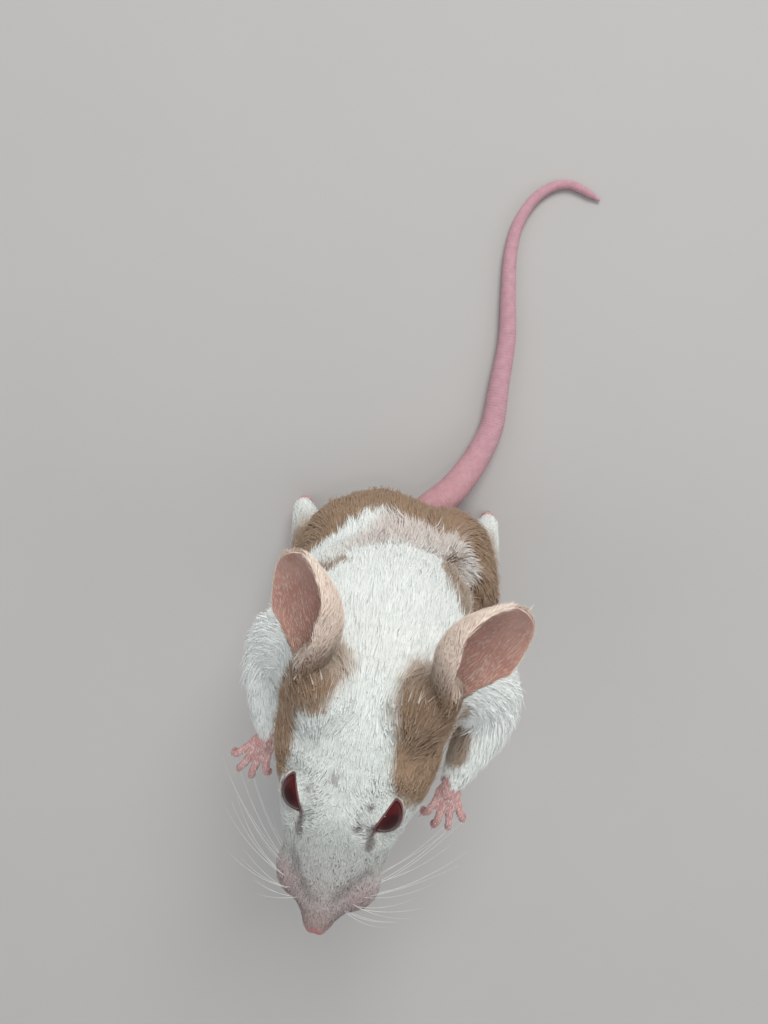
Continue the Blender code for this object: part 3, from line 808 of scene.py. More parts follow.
# Fingers of the forepaw, from the wrist: root x and y, tip x, y and z.
FINGERS = ((-1.25, -2.4, -2.35, -5.1, -1.55), (-0.45, -3.0, -0.80, -6.5, -1.55),
           (0.5, -3.0, 0.90, -6.4, -1.55), (1.3, -2.3, 2.4, -4.9, -1.55))
FINGER = 0.42
# Toes of the hind foot, from the heel: root x and y, tip x and y, radius.
TOES = ((-1.9, -8.2, -3.2, -11.6, 0.55), (-1.5, -10.8, -2.6, -16.1, 0.56), (-0.1, -11.2, -0.3, -17.2, 0.57),
        (1.4, -10.9, 2.0, -16.3, 0.56), (1.9, -8.8, 3.1, -12.5, 0.55))


def forepaw(side):
    """A small hand, palm down: knuckles, bent fingers with a pad at each tip, and the wrist."""
    turn = forepaw_frame(side)
    masses = [ball(turn, (0, -1.9, -0.15), (1.6, 1.9, 0.85)),
              rod(turn, ((0, 0.9, 0, 0.9), (0, 0.2, 0, 1.0), (0, -1.0, 0, 1.12)))]
    for root_x, root_y, tip_x, tip_y, tip_z in FINGERS:
        middle_x, middle_y = (root_x + tip_x) / 2, (root_y + tip_y) / 2
        near_x, near_y = middle_x * 0.3 + tip_x * 0.7, middle_y * 0.35 + tip_y * 0.65
        masses.append(rod(turn, ((root_x, root_y, 0.05, FINGER * 1.05),
                                 (middle_x, middle_y, 0.22, FINGER * 1.08),
                                 (near_x, near_y, -0.45, FINGER * 0.86),
                                 (tip_x, tip_y, tip_z, FINGER * 0.95))))
        masses.append(ball(turn, (root_x * 1.05, root_y - 0.25, 0.22), (0.52, 0.62, 0.42), SMALL_BALL))
        masses.append(ball(turn, (tip_x, tip_y + 0.1, tip_z - 0.05), (0.46, 0.52, 0.48), SMALL_BALL))
    paw = fused("forepaw_" + side, masses, 0.14, 3)
    return set_slot(paw, PAW)


def hind_foot(side):
    """A long flat foot: heel, instep, ball and five toes with knuckles and pads."""
    turn = hind_foot_frame(side)
    sign = SIDES[side]
    instep = ((0, -0.5, 3.1, 1.0), (0, -0.6, 2.2, 1.25), (0, -2.6, 1.35, 1.35), (0, -5.4, 1.15, 1.2),
              (0, -8.6, 1.0, 1.05))
    masses = [ball(turn, (0, -0.35, 1.45), (1.25, 1.7, 1.5)), rod(turn, instep),
              ball(turn, (0, -8.9, 0.85), (1.95, 2.6, 0.95)),
              ball(turn, (0.1 * sign, -10.7, 0.75), (2.0, 1.5, 0.85))]
    for root_x, root_y, tip_x, tip_y, radius in TOES:
        root_x, tip_x = root_x * sign, tip_x * sign
        middle_x, middle_y = (root_x + tip_x) / 2, (root_y + tip_y) / 2
        near_x, near_y = root_x * 0.2 + tip_x * 0.8, root_y * 0.22 + tip_y * 0.78
        masses.append(rod(turn, ((root_x, root_y, 0.85, radius * 1.05),
                                 (middle_x, middle_y, 0.98, radius * 0.95),
                                 (near_x, near_y, 0.70, radius * 0.86),
                                 (tip_x, tip_y, 0.48, radius * 0.92))))
        masses.append(ball(turn, (root_x, root_y - 0.3, 0.98), (0.62, 0.75, 0.62), SMALL_BALL))
        masses.append(ball(turn, (tip_x, tip_y + 0.15, 0.42), (0.56, 0.7, 0.5), SMALL_BALL))
    foot = fused("hind_foot_" + side, masses, 0.17, 3)
    points = points_of(foot.data)
    points[:, 2] = np.maximum(points[:, 2], 0)
    set_points(foot.data, points)
    return set_slot(foot, PAW)


def ear_axes(side):
    """An ear's root and length, and its ways: to the tip, across it outwards, and out of the cup."""
    root, tip, opening = (Vector(values) for values in EARS[side])
    along = (tip - root).normalized()
    across = along.cross(opening).normalized() * SIDES[side]
    out = across.cross(along) * SIDES[side]
    return root, (tip - root).length, along, across, out


EAR_OUTER = 6.3                 # breadth from the ear's deepest line to its outer rim, round the hollow
EAR_INNER = 6.0                 # and to its inner rim, which rolls over
EAR_ROWS = 40
EAR_COLUMNS = 17


def ear_breadth(reach):
    """How broad the ear is at a height: narrow at the root, round at the top."""
    if reach < 0.42:
        part = (reach + 0.14) / 0.56
        return 0.55 + 0.45 * math.sin(part * math.pi / 2)
    return max(0.03, 1 - ((reach - 0.42) / 0.583) ** 2.2) ** 0.58


def ear_sheet(side):
    """Rows of points on the ear's middle surface, from its root to its tip and from the midline outwards."""
    root, length, along, across, out = (np.array(value) if isinstance(value, Vector) else value
                                        for value in ear_axes(side))
    rows = []
    for reach in np.linspace(-0.14, 1, EAR_ROWS):
        broad = ear_breadth(reach)
        inner_roll = float(np.interp(reach, (0, 0.3, 0.55, 0.8, 1), (2.6, 2.3, 2.0, 1.3, 0.7)))
        outer_roll = float(np.interp(reach, (0, 0.3, 0.6, 1), (1.7, 1.15, 0.8, 0.5)))
        deep = 2.1 * math.sin(math.pi * min(1, max(0, 0.12 + reach * 0.78))) + 0.2
        shift = -1.9 * math.sin(math.pi * min(1, max(0, 0.08 + reach * 0.86)))
        start = root + along * length * reach + across * shift - out * deep
        row = []
        for place in np.linspace(-1, 1, EAR_COLUMNS):
            roll = inner_roll if place < 0 else outer_roll
            reached = EAR_INNER if place < 0 else EAR_OUTER * np.interp(reach, (-0.14, 0.4), (0.35, 1.0))
            span = reached * broad / roll
            angle = place * roll
            point = start + across * math.sin(angle) * span + out * (1 - math.cos(angle)) * span
            row.append(point + out * 0.10 * math.sin(reach * 11 + place * 2) * place ** 2)
        rows.append(row)
    return np.array(rows)


def ear(side):
    """A thin cupped ear, rolled to a tube at its root, with a rounded rim."""
    middle = ear_sheet(side)
    step_up = np.gradient(middle, axis=0)
    step_across = np.gradient(middle, axis=1)
    normals = np.cross(step_across, step_up)
    normals *= SIDES[side] / (np.linalg.norm(normals, axis=2)[:, :, None] + 1e-9)
    reach = np.linspace(0, 1, EAR_ROWS)[:, None, None]
    wall = 0.5 * (0.42 - 0.20 * reach) * np.ones_like(middle[:, :, :1])
    wall = wall * (1 - 0.25 * np.abs(np.linspace(-1, 1, EAR_COLUMNS))[None, :, None] ** 6)
    front, rear = middle + normals * wall, middle - normals * wall
    edge, rim = (0.16 * step / (np.linalg.norm(step, axis=2)[:, :, None] + 1e-9)
                 for step in (step_across[:, -1:], step_across[:, :1]))
    rings = np.concatenate((front, middle[:, -1:] + edge, rear[:, ::-1], middle[:, :1] - rim), axis=1)
    obj = shell("ear_" + side, (rings * MM + np.array(SHIFT)))
    set_slot(obj, EAR)
    around = rings.shape[1]
    slots = np.full(len(obj.data.polygons), EAR, np.int32)
    number = np.arange((EAR_ROWS - 1) * around) % around
    slots[:len(number)][number >= EAR_COLUMNS] = EAR_BACK
    obj.data.polygons.foreach_set("material_index", slots)
    return applied(obj, "rounding", "SUBSURF", levels=1, render_levels=1)


TAIL_SIDES = 24


def tail_path():
    """Points along the tail with their radii, in the body's millimetres, evenly spaced."""
    rows = [(x, y, radius * TAIL_FLAT if height is None else height, radius)
            for x, y, radius, height in TAIL_JOINTS]
    fine = smooth_path(rows, 40)
    lengths = np.concatenate(((0,), np.cumsum(np.linalg.norm(np.diff(fine[:, :3], axis=0), axis=1))))
    count = int(lengths[-1] / (sizes().tail_pitch / MM / 3)) + 1
    even = np.linspace(0, lengths[-1], count)
    return np.stack([np.interp(even, lengths, fine[:, axis]) for axis in range(4)], axis=1)


def tail():
    """The tail: a tapering rod, ringed with rows of small scales, lying on the floor."""
    path = tail_path()
    ways = np.gradient(path[:, :3], axis=0)
    ways /= np.linalg.norm(ways, axis=1)[:, None]
    sideways = np.cross(ways, (0, 0, 1))
    sideways /= np.linalg.norm(sideways, axis=1)[:, None]
    upwards = np.cross(sideways, ways)
    turns = np.linspace(0, math.tau, TAIL_SIDES, endpoint=False)
    rings = np.empty((len(path), TAIL_SIDES, 3))
    for row, (place, side, up) in enumerate(zip(path, sideways, upwards)):
        lift = (0.0, 0.030, -0.035)[row % 3]
        scales = 1 + lift + 0.012 * np.cos(turns * TAIL_SIDES / 2 + (row // 3) * math.pi)
        to_tip = (len(path) - 1 - row) / 3
        close = min(1.0, 0.35 + to_tip * 0.16)
        radius = place[3] * scales * close
        rings[row] = place[:3] + np.outer(np.cos(turns) * radius, side) + np.outer(np.sin(turns) * radius, up)
    rings[:, :, 2] = np.maximum(rings[:, :, 2], 0)
    return set_slot(shell("tail", rings * MM + np.array(SHIFT)), TAIL)


def lid_rim(side):
    """The bare moist edge of the lids, as a closed ring."""
    centre = np.array(eye_centre(side)) / MM
    outward, forward, across = eye_axes(side)
    radius = sizes().eye_radius / MM
    section = np.linspace(0, math.tau, 10, endpoint=False)
    rows = []
    for turn in np.linspace(0, math.tau, 72, endpoint=False):
        reach = lid_reach(turn) * 1.04
        round_eye = forward * math.cos(turn) + across * math.sin(turn)
        up = outward * math.cos(reach) + round_eye * math.sin(reach)
        aside = -outward * math.sin(reach) + round_eye * math.cos(reach)
        corner = 0.5 * max(0.0, math.cos(turn)) ** 10
        rows.append([centre + up * (radius + 0.06 + 0.11 * math.sin(part))
                     + aside * (0.13 + corner * 0.3) * math.cos(part) for part in section])
    obj = shell("lid_rim_" + side, np.array(rows) * MM, endless=True)
    return set_slot(obj, NOSE)


def united(obj, others):
    """The object with the others merged into it, each part keeping its material slots."""
    for other in others:
        applied(obj, "union", "BOOLEAN", operation="UNION", solver="MANIFOLD", object=other)
        bpy.data.objects.remove(other)
    return obj


# ---------------------------------------------------------------- materials

def grain_group():
    """Small changes of colour and height over coat and skin."""
    group = bpy.data.node_groups.get("Grain")
    if group:
        return group
    group = bpy.data.node_groups.new("Grain", "ShaderNodeTree")
    for name, kind in (("Tint", "NodeSocketColor"), ("Shade", "NodeSocketColor"),
                       ("Scale", "NodeSocketFloat"), ("Amount", "NodeSocketFloat")):
        group.interface.new_socket(name, in_out="INPUT", socket_type=kind)
    for name, kind in (("Colour", "NodeSocketColor"), ("Height", "NodeSocketFloat"),
                       ("Mask", "NodeSocketFloat")):
        group.interface.new_socket(name, in_out="OUTPUT", socket_type=kind)
    nodes = group.nodes
    given, result = nodes.new("NodeGroupInput"), nodes.new("NodeGroupOutput")
    place = nodes.new("ShaderNodeTexCoord")
    noise = nodes.new("ShaderNodeTexNoise")
    noise.inputs["Detail"].default_value = 4
    noise.inputs["Roughness"].default_value = 0.62
    group.links.new(place.outputs["Object"], noise.inputs["Vector"])
    group.links.new(given.outputs["Scale"], noise.inputs["Scale"])
    spread = nodes.new("ShaderNodeMapRange")
    spread.inputs["From Min"].default_value = 0.35
    spread.inputs["From Max"].default_value = 0.68
    group.links.new(noise.outputs["Fac"], spread.inputs["Value"])
    share = nodes.new("ShaderNodeMath")
    share.operation = "MULTIPLY"
    group.links.new(spread.outputs["Result"], share.inputs[0])
    group.links.new(given.outputs["Amount"], share.inputs[1])
    mix = nodes.new("ShaderNodeMix")
    mix.data_type = "RGBA"
    mix.blend_type = "MULTIPLY"
    group.links.new(share.outputs[0], mix.inputs["Factor"])
    group.links.new(given.outputs["Tint"], mix.inputs["A"])
    group.links.new(given.outputs["Shade"], mix.inputs["B"])
    group.links.new(mix.outputs["Result"], result.inputs["Colour"])
    group.links.new(noise.outputs["Fac"], result.inputs["Height"])
    group.links.new(spread.outputs["Result"], result.inputs["Mask"])
    return group


def tinted_material(name, shade, scale, amount, roughness, bump, settings):
    """A finish whose colour is the piece's own Tint, darkened to shade by a grain of that scale and
    amount; roughness is its range, and bump the grain's strength and height in millimetres."""
    material = bpy.data.materials.get(name)
    if material:
        return material
    material = bpy.data.materials.new(name)
    material.use_nodes = True
    tree = material.node_tree
    shader = tree.nodes["Principled BSDF"]
    tint = tree.nodes.new("ShaderNodeAttribute")
    tint.attribute_name = "Tint"
    grain = tree.nodes.new("ShaderNodeGroup")
    grain.node_tree = grain_group()
    grain.inputs["Shade"].default_value = (*shade, 1)
    grain.inputs["Scale"].default_value = scale
    grain.inputs["Amount"].default_value = amount
    tree.links.new(tint.outputs["Color"], grain.inputs["Tint"])
    tree.links.new(grain.outputs["Colour"], shader.inputs["Base Color"])
    rough = tree.nodes.new("ShaderNodeMapRange")
    rough.inputs["To Min"].default_value = roughness[0]
    rough.inputs["To Max"].default_value = roughness[1]
    tree.links.new(grain.outputs["Mask"], rough.inputs["Value"])
    tree.links.new(rough.outputs["Result"], shader.inputs["Roughness"])
    if bump:
        relief = tree.nodes.new("ShaderNodeBump")
        relief.inputs["Strength"].default_value = bump[0]
        relief.inputs["Distance"].default_value = bump[1] * MM
        tree.links.new(grain.outputs["Height"], relief.inputs["Height"])
        tree.links.new(relief.outputs["Normal"], shader.inputs["Normal"])
    for key, value in settings.items():
        shader.inputs[key].default_value = value
    return material


def fleshy(weight, radius, scale, shine):
    """Settings of skin that light sinks into; scale in millimetres."""
    return {"Subsurface Weight": weight, "Subsurface Radius": radius, "Subsurface Scale": scale * MM,
            "Specular IOR Level": shine}


# Finishes in the order of the kinds of surface: what tinted_material takes after the name.
SKIN_LOOKS = {
    "mouse_furred": ((0.90, 0.87, 0.86), 900, 0.4, (0.6, 0.8), (0.5, 0.08), {"Specular IOR Level": 0.25}),
    "mouse_paw": ((0.86, 0.70, 0.69), 1500, 0.7, (0.42, 0.62), (0.55, 0.10),
                  fleshy(0.30, (1.0, 0.35, 0.25), 0.5, 0.4)),
    "mouse_ear": ((0.84, 0.70, 0.66), 700, 0.6, (0.5, 0.7), (0.35, 0.08),
                  {**fleshy(0.40, (1.0, 0.42, 0.28), 0.7, 0.25),
                   "Sheen Weight": 0.10, "Sheen Roughness": 0.5}),
    "mouse_ear_back": ((0.84, 0.72, 0.68), 900, 0.6, (0.55, 0.75), (0.4, 0.1),
                       fleshy(0.25, (1.0, 0.42, 0.28), 0.6, 0.25)),
    "mouse_tail": ((0.86, 0.76, 0.77), 1300, 0.6, (0.42, 0.6), (0.5, 0.06),
                   fleshy(0.25, (1.0, 0.4, 0.3), 0.5, 0.25)),
    "mouse_nose": ((0.80, 0.68, 0.68), 2600, 0.7, (0.25, 0.42), (0.5, 0.05),
                   fleshy(0.2, (1.0, 0.35, 0.25), 0.4, 0.5)),
}


def skin_materials():
    return [tinted_material(name, *look) for name, look in SKIN_LOOKS.items()]


def coat_material():
    return tinted_material("mouse_coat", (0.88, 0.86, 0.84), 1500, 0.35, (0.5, 0.7), None,
                           {"Specular IOR Level": 0.3, "Sheen Weight": 0.15, "Sheen Roughness": 0.6})


def eye_material():
    return tinted_material("mouse_eye", (0.55, 0.45, 0.45), 1100, 0.6, (0.03, 0.07), None,
                           {"IOR": 1.36})


def claw_material():
    return tinted_material("mouse_claw", (0.85, 0.74, 0.68), 2500, 0.6, (0.3, 0.45), (0.3, 0.03),
                           {"Subsurface Weight": 0.2, "Subsurface Radius": (1.0, 0.5, 0.4),
                            "Subsurface Scale": 0.3 * MM})


def whisker_material():
    return tinted_material("mouse_whisker", (0.92, 0.90, 0.88), 900, 0.4, (0.3, 0.45), None,
                           {"Specular IOR Level": 0.6})


def tint_points(mesh, colour):
    """Stores a colour for each point of a mesh."""
    layer = mesh.color_attributes.new("Tint", "FLOAT_COLOR", "POINT")
    rows = np.ones((len(mesh.vertices), 4), np.float32)
    rows[:, :3] = np.clip(colour, 0, 1)
    layer.data.foreach_set("color", rows.ravel())


LIP = (0.46, 0.27, 0.26)
# Painted shade in the seam of the closed mouth.
MOUTH_SEAM_SHADE = (0.18, 0.08, 0.08)
PALE_PAW = (0.71, 0.49, 0.46)
TAIL_START = (0.60, 0.35, 0.38)
LID = (0.17, 0.09, 0.095)


def blended(colour, other, share):
    """The colour with some of another mixed in, by a share for each point."""
    return colour + (np.array(other) - colour) * share[:, None]


def paw_colour(points, normals):
    """Pink, paler on top of the feet and on the backs of the hands but not on the fingers."""
    body = in_body(points)
    share = 0.45 * soft_step(normals[:, 2], -0.2, 0.9) + 0.12 * wobble(body, 1.4, 21)
    reach = np.full(len(points), 9.0)
    for side in SIDES:
        reach = np.minimum(reach, gap_to(points, forepaw_frame(side).translation) / MM)
    share = np.where(body[:, 2] > 20, share * (1 - 0.5 * soft_step(reach, 3.5, 6.5)), share)
    paw = np.array(colours().paw)
    return paw + (np.array(PALE_PAW) - paw) * np.clip(share, 0, 1)[:, None]


def tail_colour(points):
    """Warm at the root and pinker along the tail, darker between its rings."""
    body = in_body(points)
    length = tail_place(body)
    band = 0.5 + 0.5 * np.sin(length * math.tau / (sizes().tail_pitch / MM))
    start = np.array(TAIL_START)
    colour = start + (np.array(colours().tail) - start) * soft_step(length, 3, 26)[:, None]
    return colour * (0.93 + 0.07 * band)[:, None] * (1 + 0.05 * wobble(body, 2.2, 23))[:, None]


def nose_colour(points):
    """The moist nose, and the dark rims of the lids."""
    head = in_head(points)
    moist = np.array(colours().nose) * (1 + 0.08 * wobble(head, 0.8, 24))[:, None]
    return np.where((head[:, 1] > -6)[:, None], np.array(LID), moist)


def skin_colour(points, kinds, normals):
    """Colour of the skin at its points, by the kind of surface there."""
    depth = coat_measures(points)[1]
    colour = coat_colour(points + normals * depth[:, None] * 0.8 * MM) * (1.0, 0.98, 0.97)
    gap = mouth_gap(points)
    colour = blended(colour, LIP, soft_step(0.52 - gap, 0, 0.25))
    # Painted shade darkens the very line of the mouth.
    colour = blended(colour, MOUTH_SEAM_SHADE, soft_step(0.21 - gap, 0, 0.14))
    own = {PAW: paw_colour(points, normals), TAIL: tail_colour(points), EAR: ear_colour(points),
           EAR_BACK: 0.85 * ear_back_colour(points), NOSE: nose_colour(points)}
    for kind, tint in own.items():
        colour[kinds == kind] = tint[kinds == kind]
    return colour


def tail_place(body):
    """How far along the tail each place is, in millimetres."""
    path = tail_path()[:, :3]
    tree = KDTree(len(path))
    for index, place in enumerate(path):
        tree.insert(place, index)
    tree.balance()
    step = np.linalg.norm(path[1] - path[0])
    found = np.zeros(len(body))
    for index in np.flatnonzero(body[:, 1] > TAIL_ROOT[1] - 3):
        found[index] = tree.find(body[index])[1] * step
    return found


EAR_RIM = (0.62, 0.42, 0.35)
# Painted shade in the hollow of the ear at its root.
EAR_ROOT_SHADE = (0.36, 0.22, 0.17)
EAR_BACK_RIM = (0.94, 0.81, 0.71)


def ear_reach(body):
    """How far up its ear each place is: 0 at the root and 1 at the tip."""
    reach = np.zeros(len(body))
    for side, sign in SIDES.items():
        root, length, along = ear_axes(side)[:3]
        mine = (body[:, 0] + 1) * sign > 0
        reach = np.where(mine, (body - np.array(root)) @ np.array(along) / length, reach)
    return reach


def ear_colour(points):
    """Pink inside, paler at the rim, and darker at the root with painted shade in the ear's hollow."""
    body = in_body(points)
    reach = ear_reach(body)
    colour = np.tile(np.array(colours().ear), (len(points), 1))
    colour = blended(colour, EAR_RIM, soft_step(reach, 0.45, 1.0) * 0.55)
    # Painted shade deepens the hollow towards the ear's root.
    colour = blended(colour, EAR_ROOT_SHADE, (1 - soft_step(reach, 0.0, 0.42)) * 0.7)
    return colour * (1 + 0.07 * wobble(body, 2.6, 31))[:, None]


def ear_back_colour(points):
    """Fawn at the root and pale towards the rim."""
    body = in_body(points)
    fawn, pale = np.array(colours().fawn) * 1.1, np.array(EAR_BACK_RIM)
    high = soft_step(ear_reach(body), 0.0, 0.5)
    return fawn + (pale - fawn) * high[:, None] * (1 + 0.1 * wobble(body, 1.7, 51))[:, None]


# ---------------------------------------------------------------- small parts

def rings_along(path, sides):
    """Rings round a path of (x, y, z, radius), without twist."""
    path = np.asarray(path, float)
    ways = np.gradient(path[:, :3], axis=0)
    ways /= np.linalg.norm(ways, axis=1)[:, None]
    first = np.cross(ways[0], (0, 0, 1) if abs(ways[0][2]) < 0.9 else (1, 0, 0))
    turns = np.linspace(0, math.tau, sides, endpoint=False)
    rings = []
    for place, way in zip(path, ways):
        first = first - way * (first @ way)
        first /= np.linalg.norm(first)
        second = np.cross(way, first)
        circle = np.outer(np.cos(turns), first) + np.outer(np.sin(turns), second)
        rings.append(place[:3] + place[3] * circle)
    return np.array(rings)


def tube_set(name, paths, sides):
    """Many small tapered rods as one mesh; each path is rows of (x, y, z, radius) in metres."""
    places, faces = [], []
    for path in paths:
        rings = rings_along(path, sides)
        start = len(places)
        count = len(rings)
        places.extend(rings.reshape(-1, 3))
        for row in range(count - 1):
            for index in range(sides):
                following = (index + 1) % sides
                low, high = start + row * sides, start + (row + 1) * sides
                faces.append((low + index, low + following, high + following, high + index))
        faces.append(tuple(start + index for index in range(sides - 1, -1, -1)))
        faces.append(tuple(start + (count - 1) * sides + index for index in range(sides)))
    mesh = bpy.data.meshes.new(name)
    mesh.from_pydata([tuple(place) for place in places], [], faces)
    mesh.update()
    obj = bpy.data.objects.new(name, mesh)
    bpy.context.scene.collection.objects.link(obj)
    only(obj)
    bpy.ops.object.mode_set(mode="EDIT")
    bpy.ops.mesh.select_all(action="SELECT")
    bpy.ops.mesh.normals_make_consistent(inside=False)
    bpy.ops.object.mode_set(mode="OBJECT")
    return obj


def finished(obj, material, replaced=(), smooth=60):
    """Gives a piece its material, its smooth shading and its place in the frame's table."""
    if material:
        obj.data.materials.clear()
        obj.data.materials.append(material)
    only(obj)
    bpy.ops.object.shade_smooth_by_angle(angle=math.radians(smooth))
    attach(obj, BODY_NAME)
    if replaced:
        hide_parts(*replaced)
    return obj


class MOUSE_OT_skin(bpy.types.Operator):
    """Makes the one skin of body, head, ears, paws and tail, with lids, nostrils and the mouth"""

    bl_idname = "mouse.skin"
    bl_label = "Skin"

    def execute(self, context):
        skin = body_skin()
        others = [tail()]
        for side in SIDES:
            others += [forepaw(side), hind_foot(side), ear(side), lid_rim(side)]
        united(skin, others)
        mesh = skin.data
        kinds = np.zeros(len(mesh.vertices), np.int32)
        for polygon in mesh.polygons:
            for vertex in polygon.vertices:
                kinds[vertex] = max(kinds[vertex], polygon.material_index)
        tint_points(mesh, skin_colour(points_of(mesh), kinds, normals_of(mesh)))
        finished(skin, None, FLESH + BARE, smooth=70)
        return {"FINISHED"}


class MOUSE_OT_eyes(bpy.types.Operator):
    """Makes the two round ruby eyes behind the lids"""

    bl_idname = "mouse.eyes"
    bl_label = "Eyes"

    def execute(self, context):
        for side in SIDES:
            centre = eye_centre(side)
            outward, forward, across = (Vector(axis) for axis in eye_axes(side))
            turn = Matrix((forward, across, outward)).transposed().to_4x4()
            bpy.ops.object.select_all(action="DESELECT")
            bpy.ops.mesh.primitive_uv_sphere_add(segments=56, ring_count=36, radius=sizes().eye_radius)
            obj = bpy.context.object
            obj.name = "ruby_eye_" + side
            points = points_of(obj.data) / sizes().eye_radius
            height = points[:, 2]
            cornea = 1 + 0.035 * soft_step(height, 0.55, 1.0)
            pupil = soft_step(-np.hypot(points[:, 0], points[:, 1]), -0.62, -0.34) * (height > 0)
            iris, deep = np.array(colours().eye), np.array((0.032, 0.003, 0.004))
            tint_points(obj.data, iris + (deep - iris) * pupil[:, None])
            set_points(obj.data, points * cornea[:, None] * sizes().eye_radius)
            obj.data.transform(Matrix.Translation(centre) @ turn)
            finished(obj, eye_material(), ("eye_" + side,))
        return {"FINISHED"}


def claw_path(turn, x, y, z, way, length, radius):
    """A claw that leaves a toe's tip and bends down."""
    points = []
    for part in np.linspace(-0.35, 1, 6):
        ahead = Vector((way[0], way[1], 0)).normalized() * part * length
        drop = -0.42 * length * max(0, part) ** 2
        thick = radius * (1 - 0.86 * max(0.0, part)) ** 0.9
        place = turn @ (Vector((x + ahead.x, y + ahead.y, z + drop)) * MM)
        points.append((*place, thick * MM))
    return points


class MOUSE_OT_claws(bpy.types.Operator):
    """Makes the small pale claws of the fingers and toes"""

    bl_idname = "mouse.claws"
    bl_label = "Claws"

    def execute(self, context):
        paths = []
        for side, sign in SIDES.items():
            turn = forepaw_frame(side)
            for root_x, root_y, tip_x, tip_y, tip_z in FINGERS:
                way = (tip_x - root_x, tip_y - root_y)
                paths.append(claw_path(turn, tip_x, tip_y - 0.15, tip_z + 0.08, way, 0.95, 0.17))
            turn = hind_foot_frame(side)
            for root_x, root_y, tip_x, tip_y, _ in TOES:
                way = ((tip_x - root_x) * sign, tip_y - root_y)
                paths.append(claw_path(turn, tip_x * sign, tip_y - 0.2, 0.62, way, 1.25, 0.20))
        claws = tube_set("claws", paths, 8)
        tint_points(claws.data, np.tile(np.array(colours().claw), (len(claws.data.vertices), 1)))
        finished(claws, claw_material())
        return {"FINISHED"}


CHEEK_HAIR = (7.4, -0.4, -1.0)
WHISKER_COLOUR = (0.92, 0.92, 0.90)


class MOUSE_OT_whiskers(bpy.types.Operator):
    """Makes the whiskers of the muzzle and one long hair on each cheek"""

    bl_idname = "mouse.whiskers"
    bl_label = "Whiskers"

    def execute(self, context):
        tree = tree_of(bpy.data.objects["skin"].data)
        draw = np.random.default_rng(sizes().seed + 3)
        turn = HEAD.to_3x3()
        paths = []
        for sign in SIDES.values():
            plan = []
            for row in range(WHISKER_ROWS):
                for place in range(4 if row in (1, 2, 3) else 3):
                    way = (1.0, -0.30 + 0.34 * place, 0.42 - 0.30 * row)
                    plan.append((whisker_root(row, place), way, 4.8 + 2.0 * place, 1.0))
            plan.append((CHEEK_HAIR, (1.0, 0.2, -0.2), 6.0, 0.6))
            for start, way, length, thick in plan:
                length *= draw.uniform(0.85, 1.12)
                aim = np.array(way) + draw.normal(size=3) * 0.07
                aim = turn @ Vector((aim[0] * sign, aim[1], aim[2])).normalized()
                inner = HEAD @ (Vector((start[0] * sign, start[1], start[2])) * MM)
                surface = tree.find_nearest(inner)[0]
                bend = turn @ Vector((0, 0.22, -0.20)) + Vector(draw.normal(size=3) * 0.05)
                rows = []
                for part in np.linspace(-0.04, 1, 11):
                    place = surface + (aim * part + bend * part ** 2) * length * MM
                    thickness = 0.5 * sizes().whisker_width * thick * (1 - 0.85 * max(0.0, part))
                    rows.append((*place, thickness))
                paths.append(rows)
        whiskers = tube_set("whiskers", paths, 6)
        tint_points(whiskers.data, np.tile(WHISKER_COLOUR, (len(whiskers.data.vertices), 1)))
        finished(whiskers, whisker_material())
        return {"FINISHED"}


# ---------------------------------------------------------------- the coat

def coat_bones():
    """Lines that the coat lies along, in the body's millimetres, and how thick the flesh is round each."""
    head = np.array(HEAD.translation - SHIFT) / MM
    nose, brow, nape = (head + HEAD_TURN @ np.array(place)
                        for place in ((0, -14.5, -0.4), (0, 0, 0.5), (0, 8.5, 0.5)))
    bones = [((nose, brow, nape, (-1.0, -21.0, 38.8)), 6.0),
             (((-1.0, -23.5, 40.2), (-1.2, -18.0, 34.0), (-2.0, -14.0, 26.0), (-2.4, -9.5, 17.0),
               (-2.4, -5.5, 9.0), (-2.2, -4.0, 4.5)), 9.0)]
    for side in SIDES:
        sign = SIDES[side]
        wrist, heel = np.array(WRIST[side]), np.array(HEEL[side]) + (0, 0, 2.6)
        root, along = (np.array(ear_axes(side)[index]) for index in (0, 2))
        bones.append((((wrist[0] - 2.5 * sign, -19.0, 35.0), (wrist[0] + 1.5 * sign, -21.5, 29.8),
                       (wrist[0] + 1.8 * sign, -25.5, 29.6), wrist, wrist + (0, -3, 0)), 3.8))
        thigh = (heel[0] * 0.62, heel[1] - 5.5, 14.0)
        knee = (heel[0] * 0.92, heel[1] - 12.0, 9.5)
        bones.append(((thigh, knee), 5.5))
        bones.append(((knee, (heel[0], heel[1] - 5.0, 5.4), heel, heel + (0, 0.5, -2.5)), 3.4))
        bones.append(((root - along * 4.5, root, root + along * 4), 3.0))
    return bones


def lie_of_coat(points, normals, neighbours):
    """The way the coat lies at each point of the skin, along the surface."""
    body = in_body(points)
    total = np.zeros_like(points)
    for line, thickness in coat_bones():
        line = np.array([np.array(place, float) for place in line])
        for start, end in zip(line, line[1:]):
            way = end - start
            length = np.linalg.norm(way)
            part = np.clip((body - start) @ way / length ** 2, 0, 1)
            gap = np.linalg.norm(body - start - part[:, None] * way, axis=1)
            total += (way / length) * ((thickness / np.maximum(gap, 0.3)) ** 6)[:, None]
    for side in SIDES:
        away = (points - np.array(eye_centre(side))) / MM
        gap = np.linalg.norm(away, axis=1)
        near = np.clip(1.2 - (gap - 1.9) / 2.6, 0, 1)[:, None]
        total = total / (np.linalg.norm(total, axis=1)[:, None] + 1e-12) + 2.0 * near * away / gap[:, None]
    for _ in range(10):
        total -= normals * np.sum(total * normals, axis=1)[:, None]
        total /= np.linalg.norm(total, axis=1)[:, None] + 1e-12
        total = neighbours.average(total) * 0.6 + total * 0.4
    total -= normals * np.sum(total * normals, axis=1)[:, None]
    return total / (np.linalg.norm(total, axis=1)[:, None] + 1e-12)


MARCH = (1.0, 2.0, 3.2)         # distances along the skin at which the way of a tuft is known


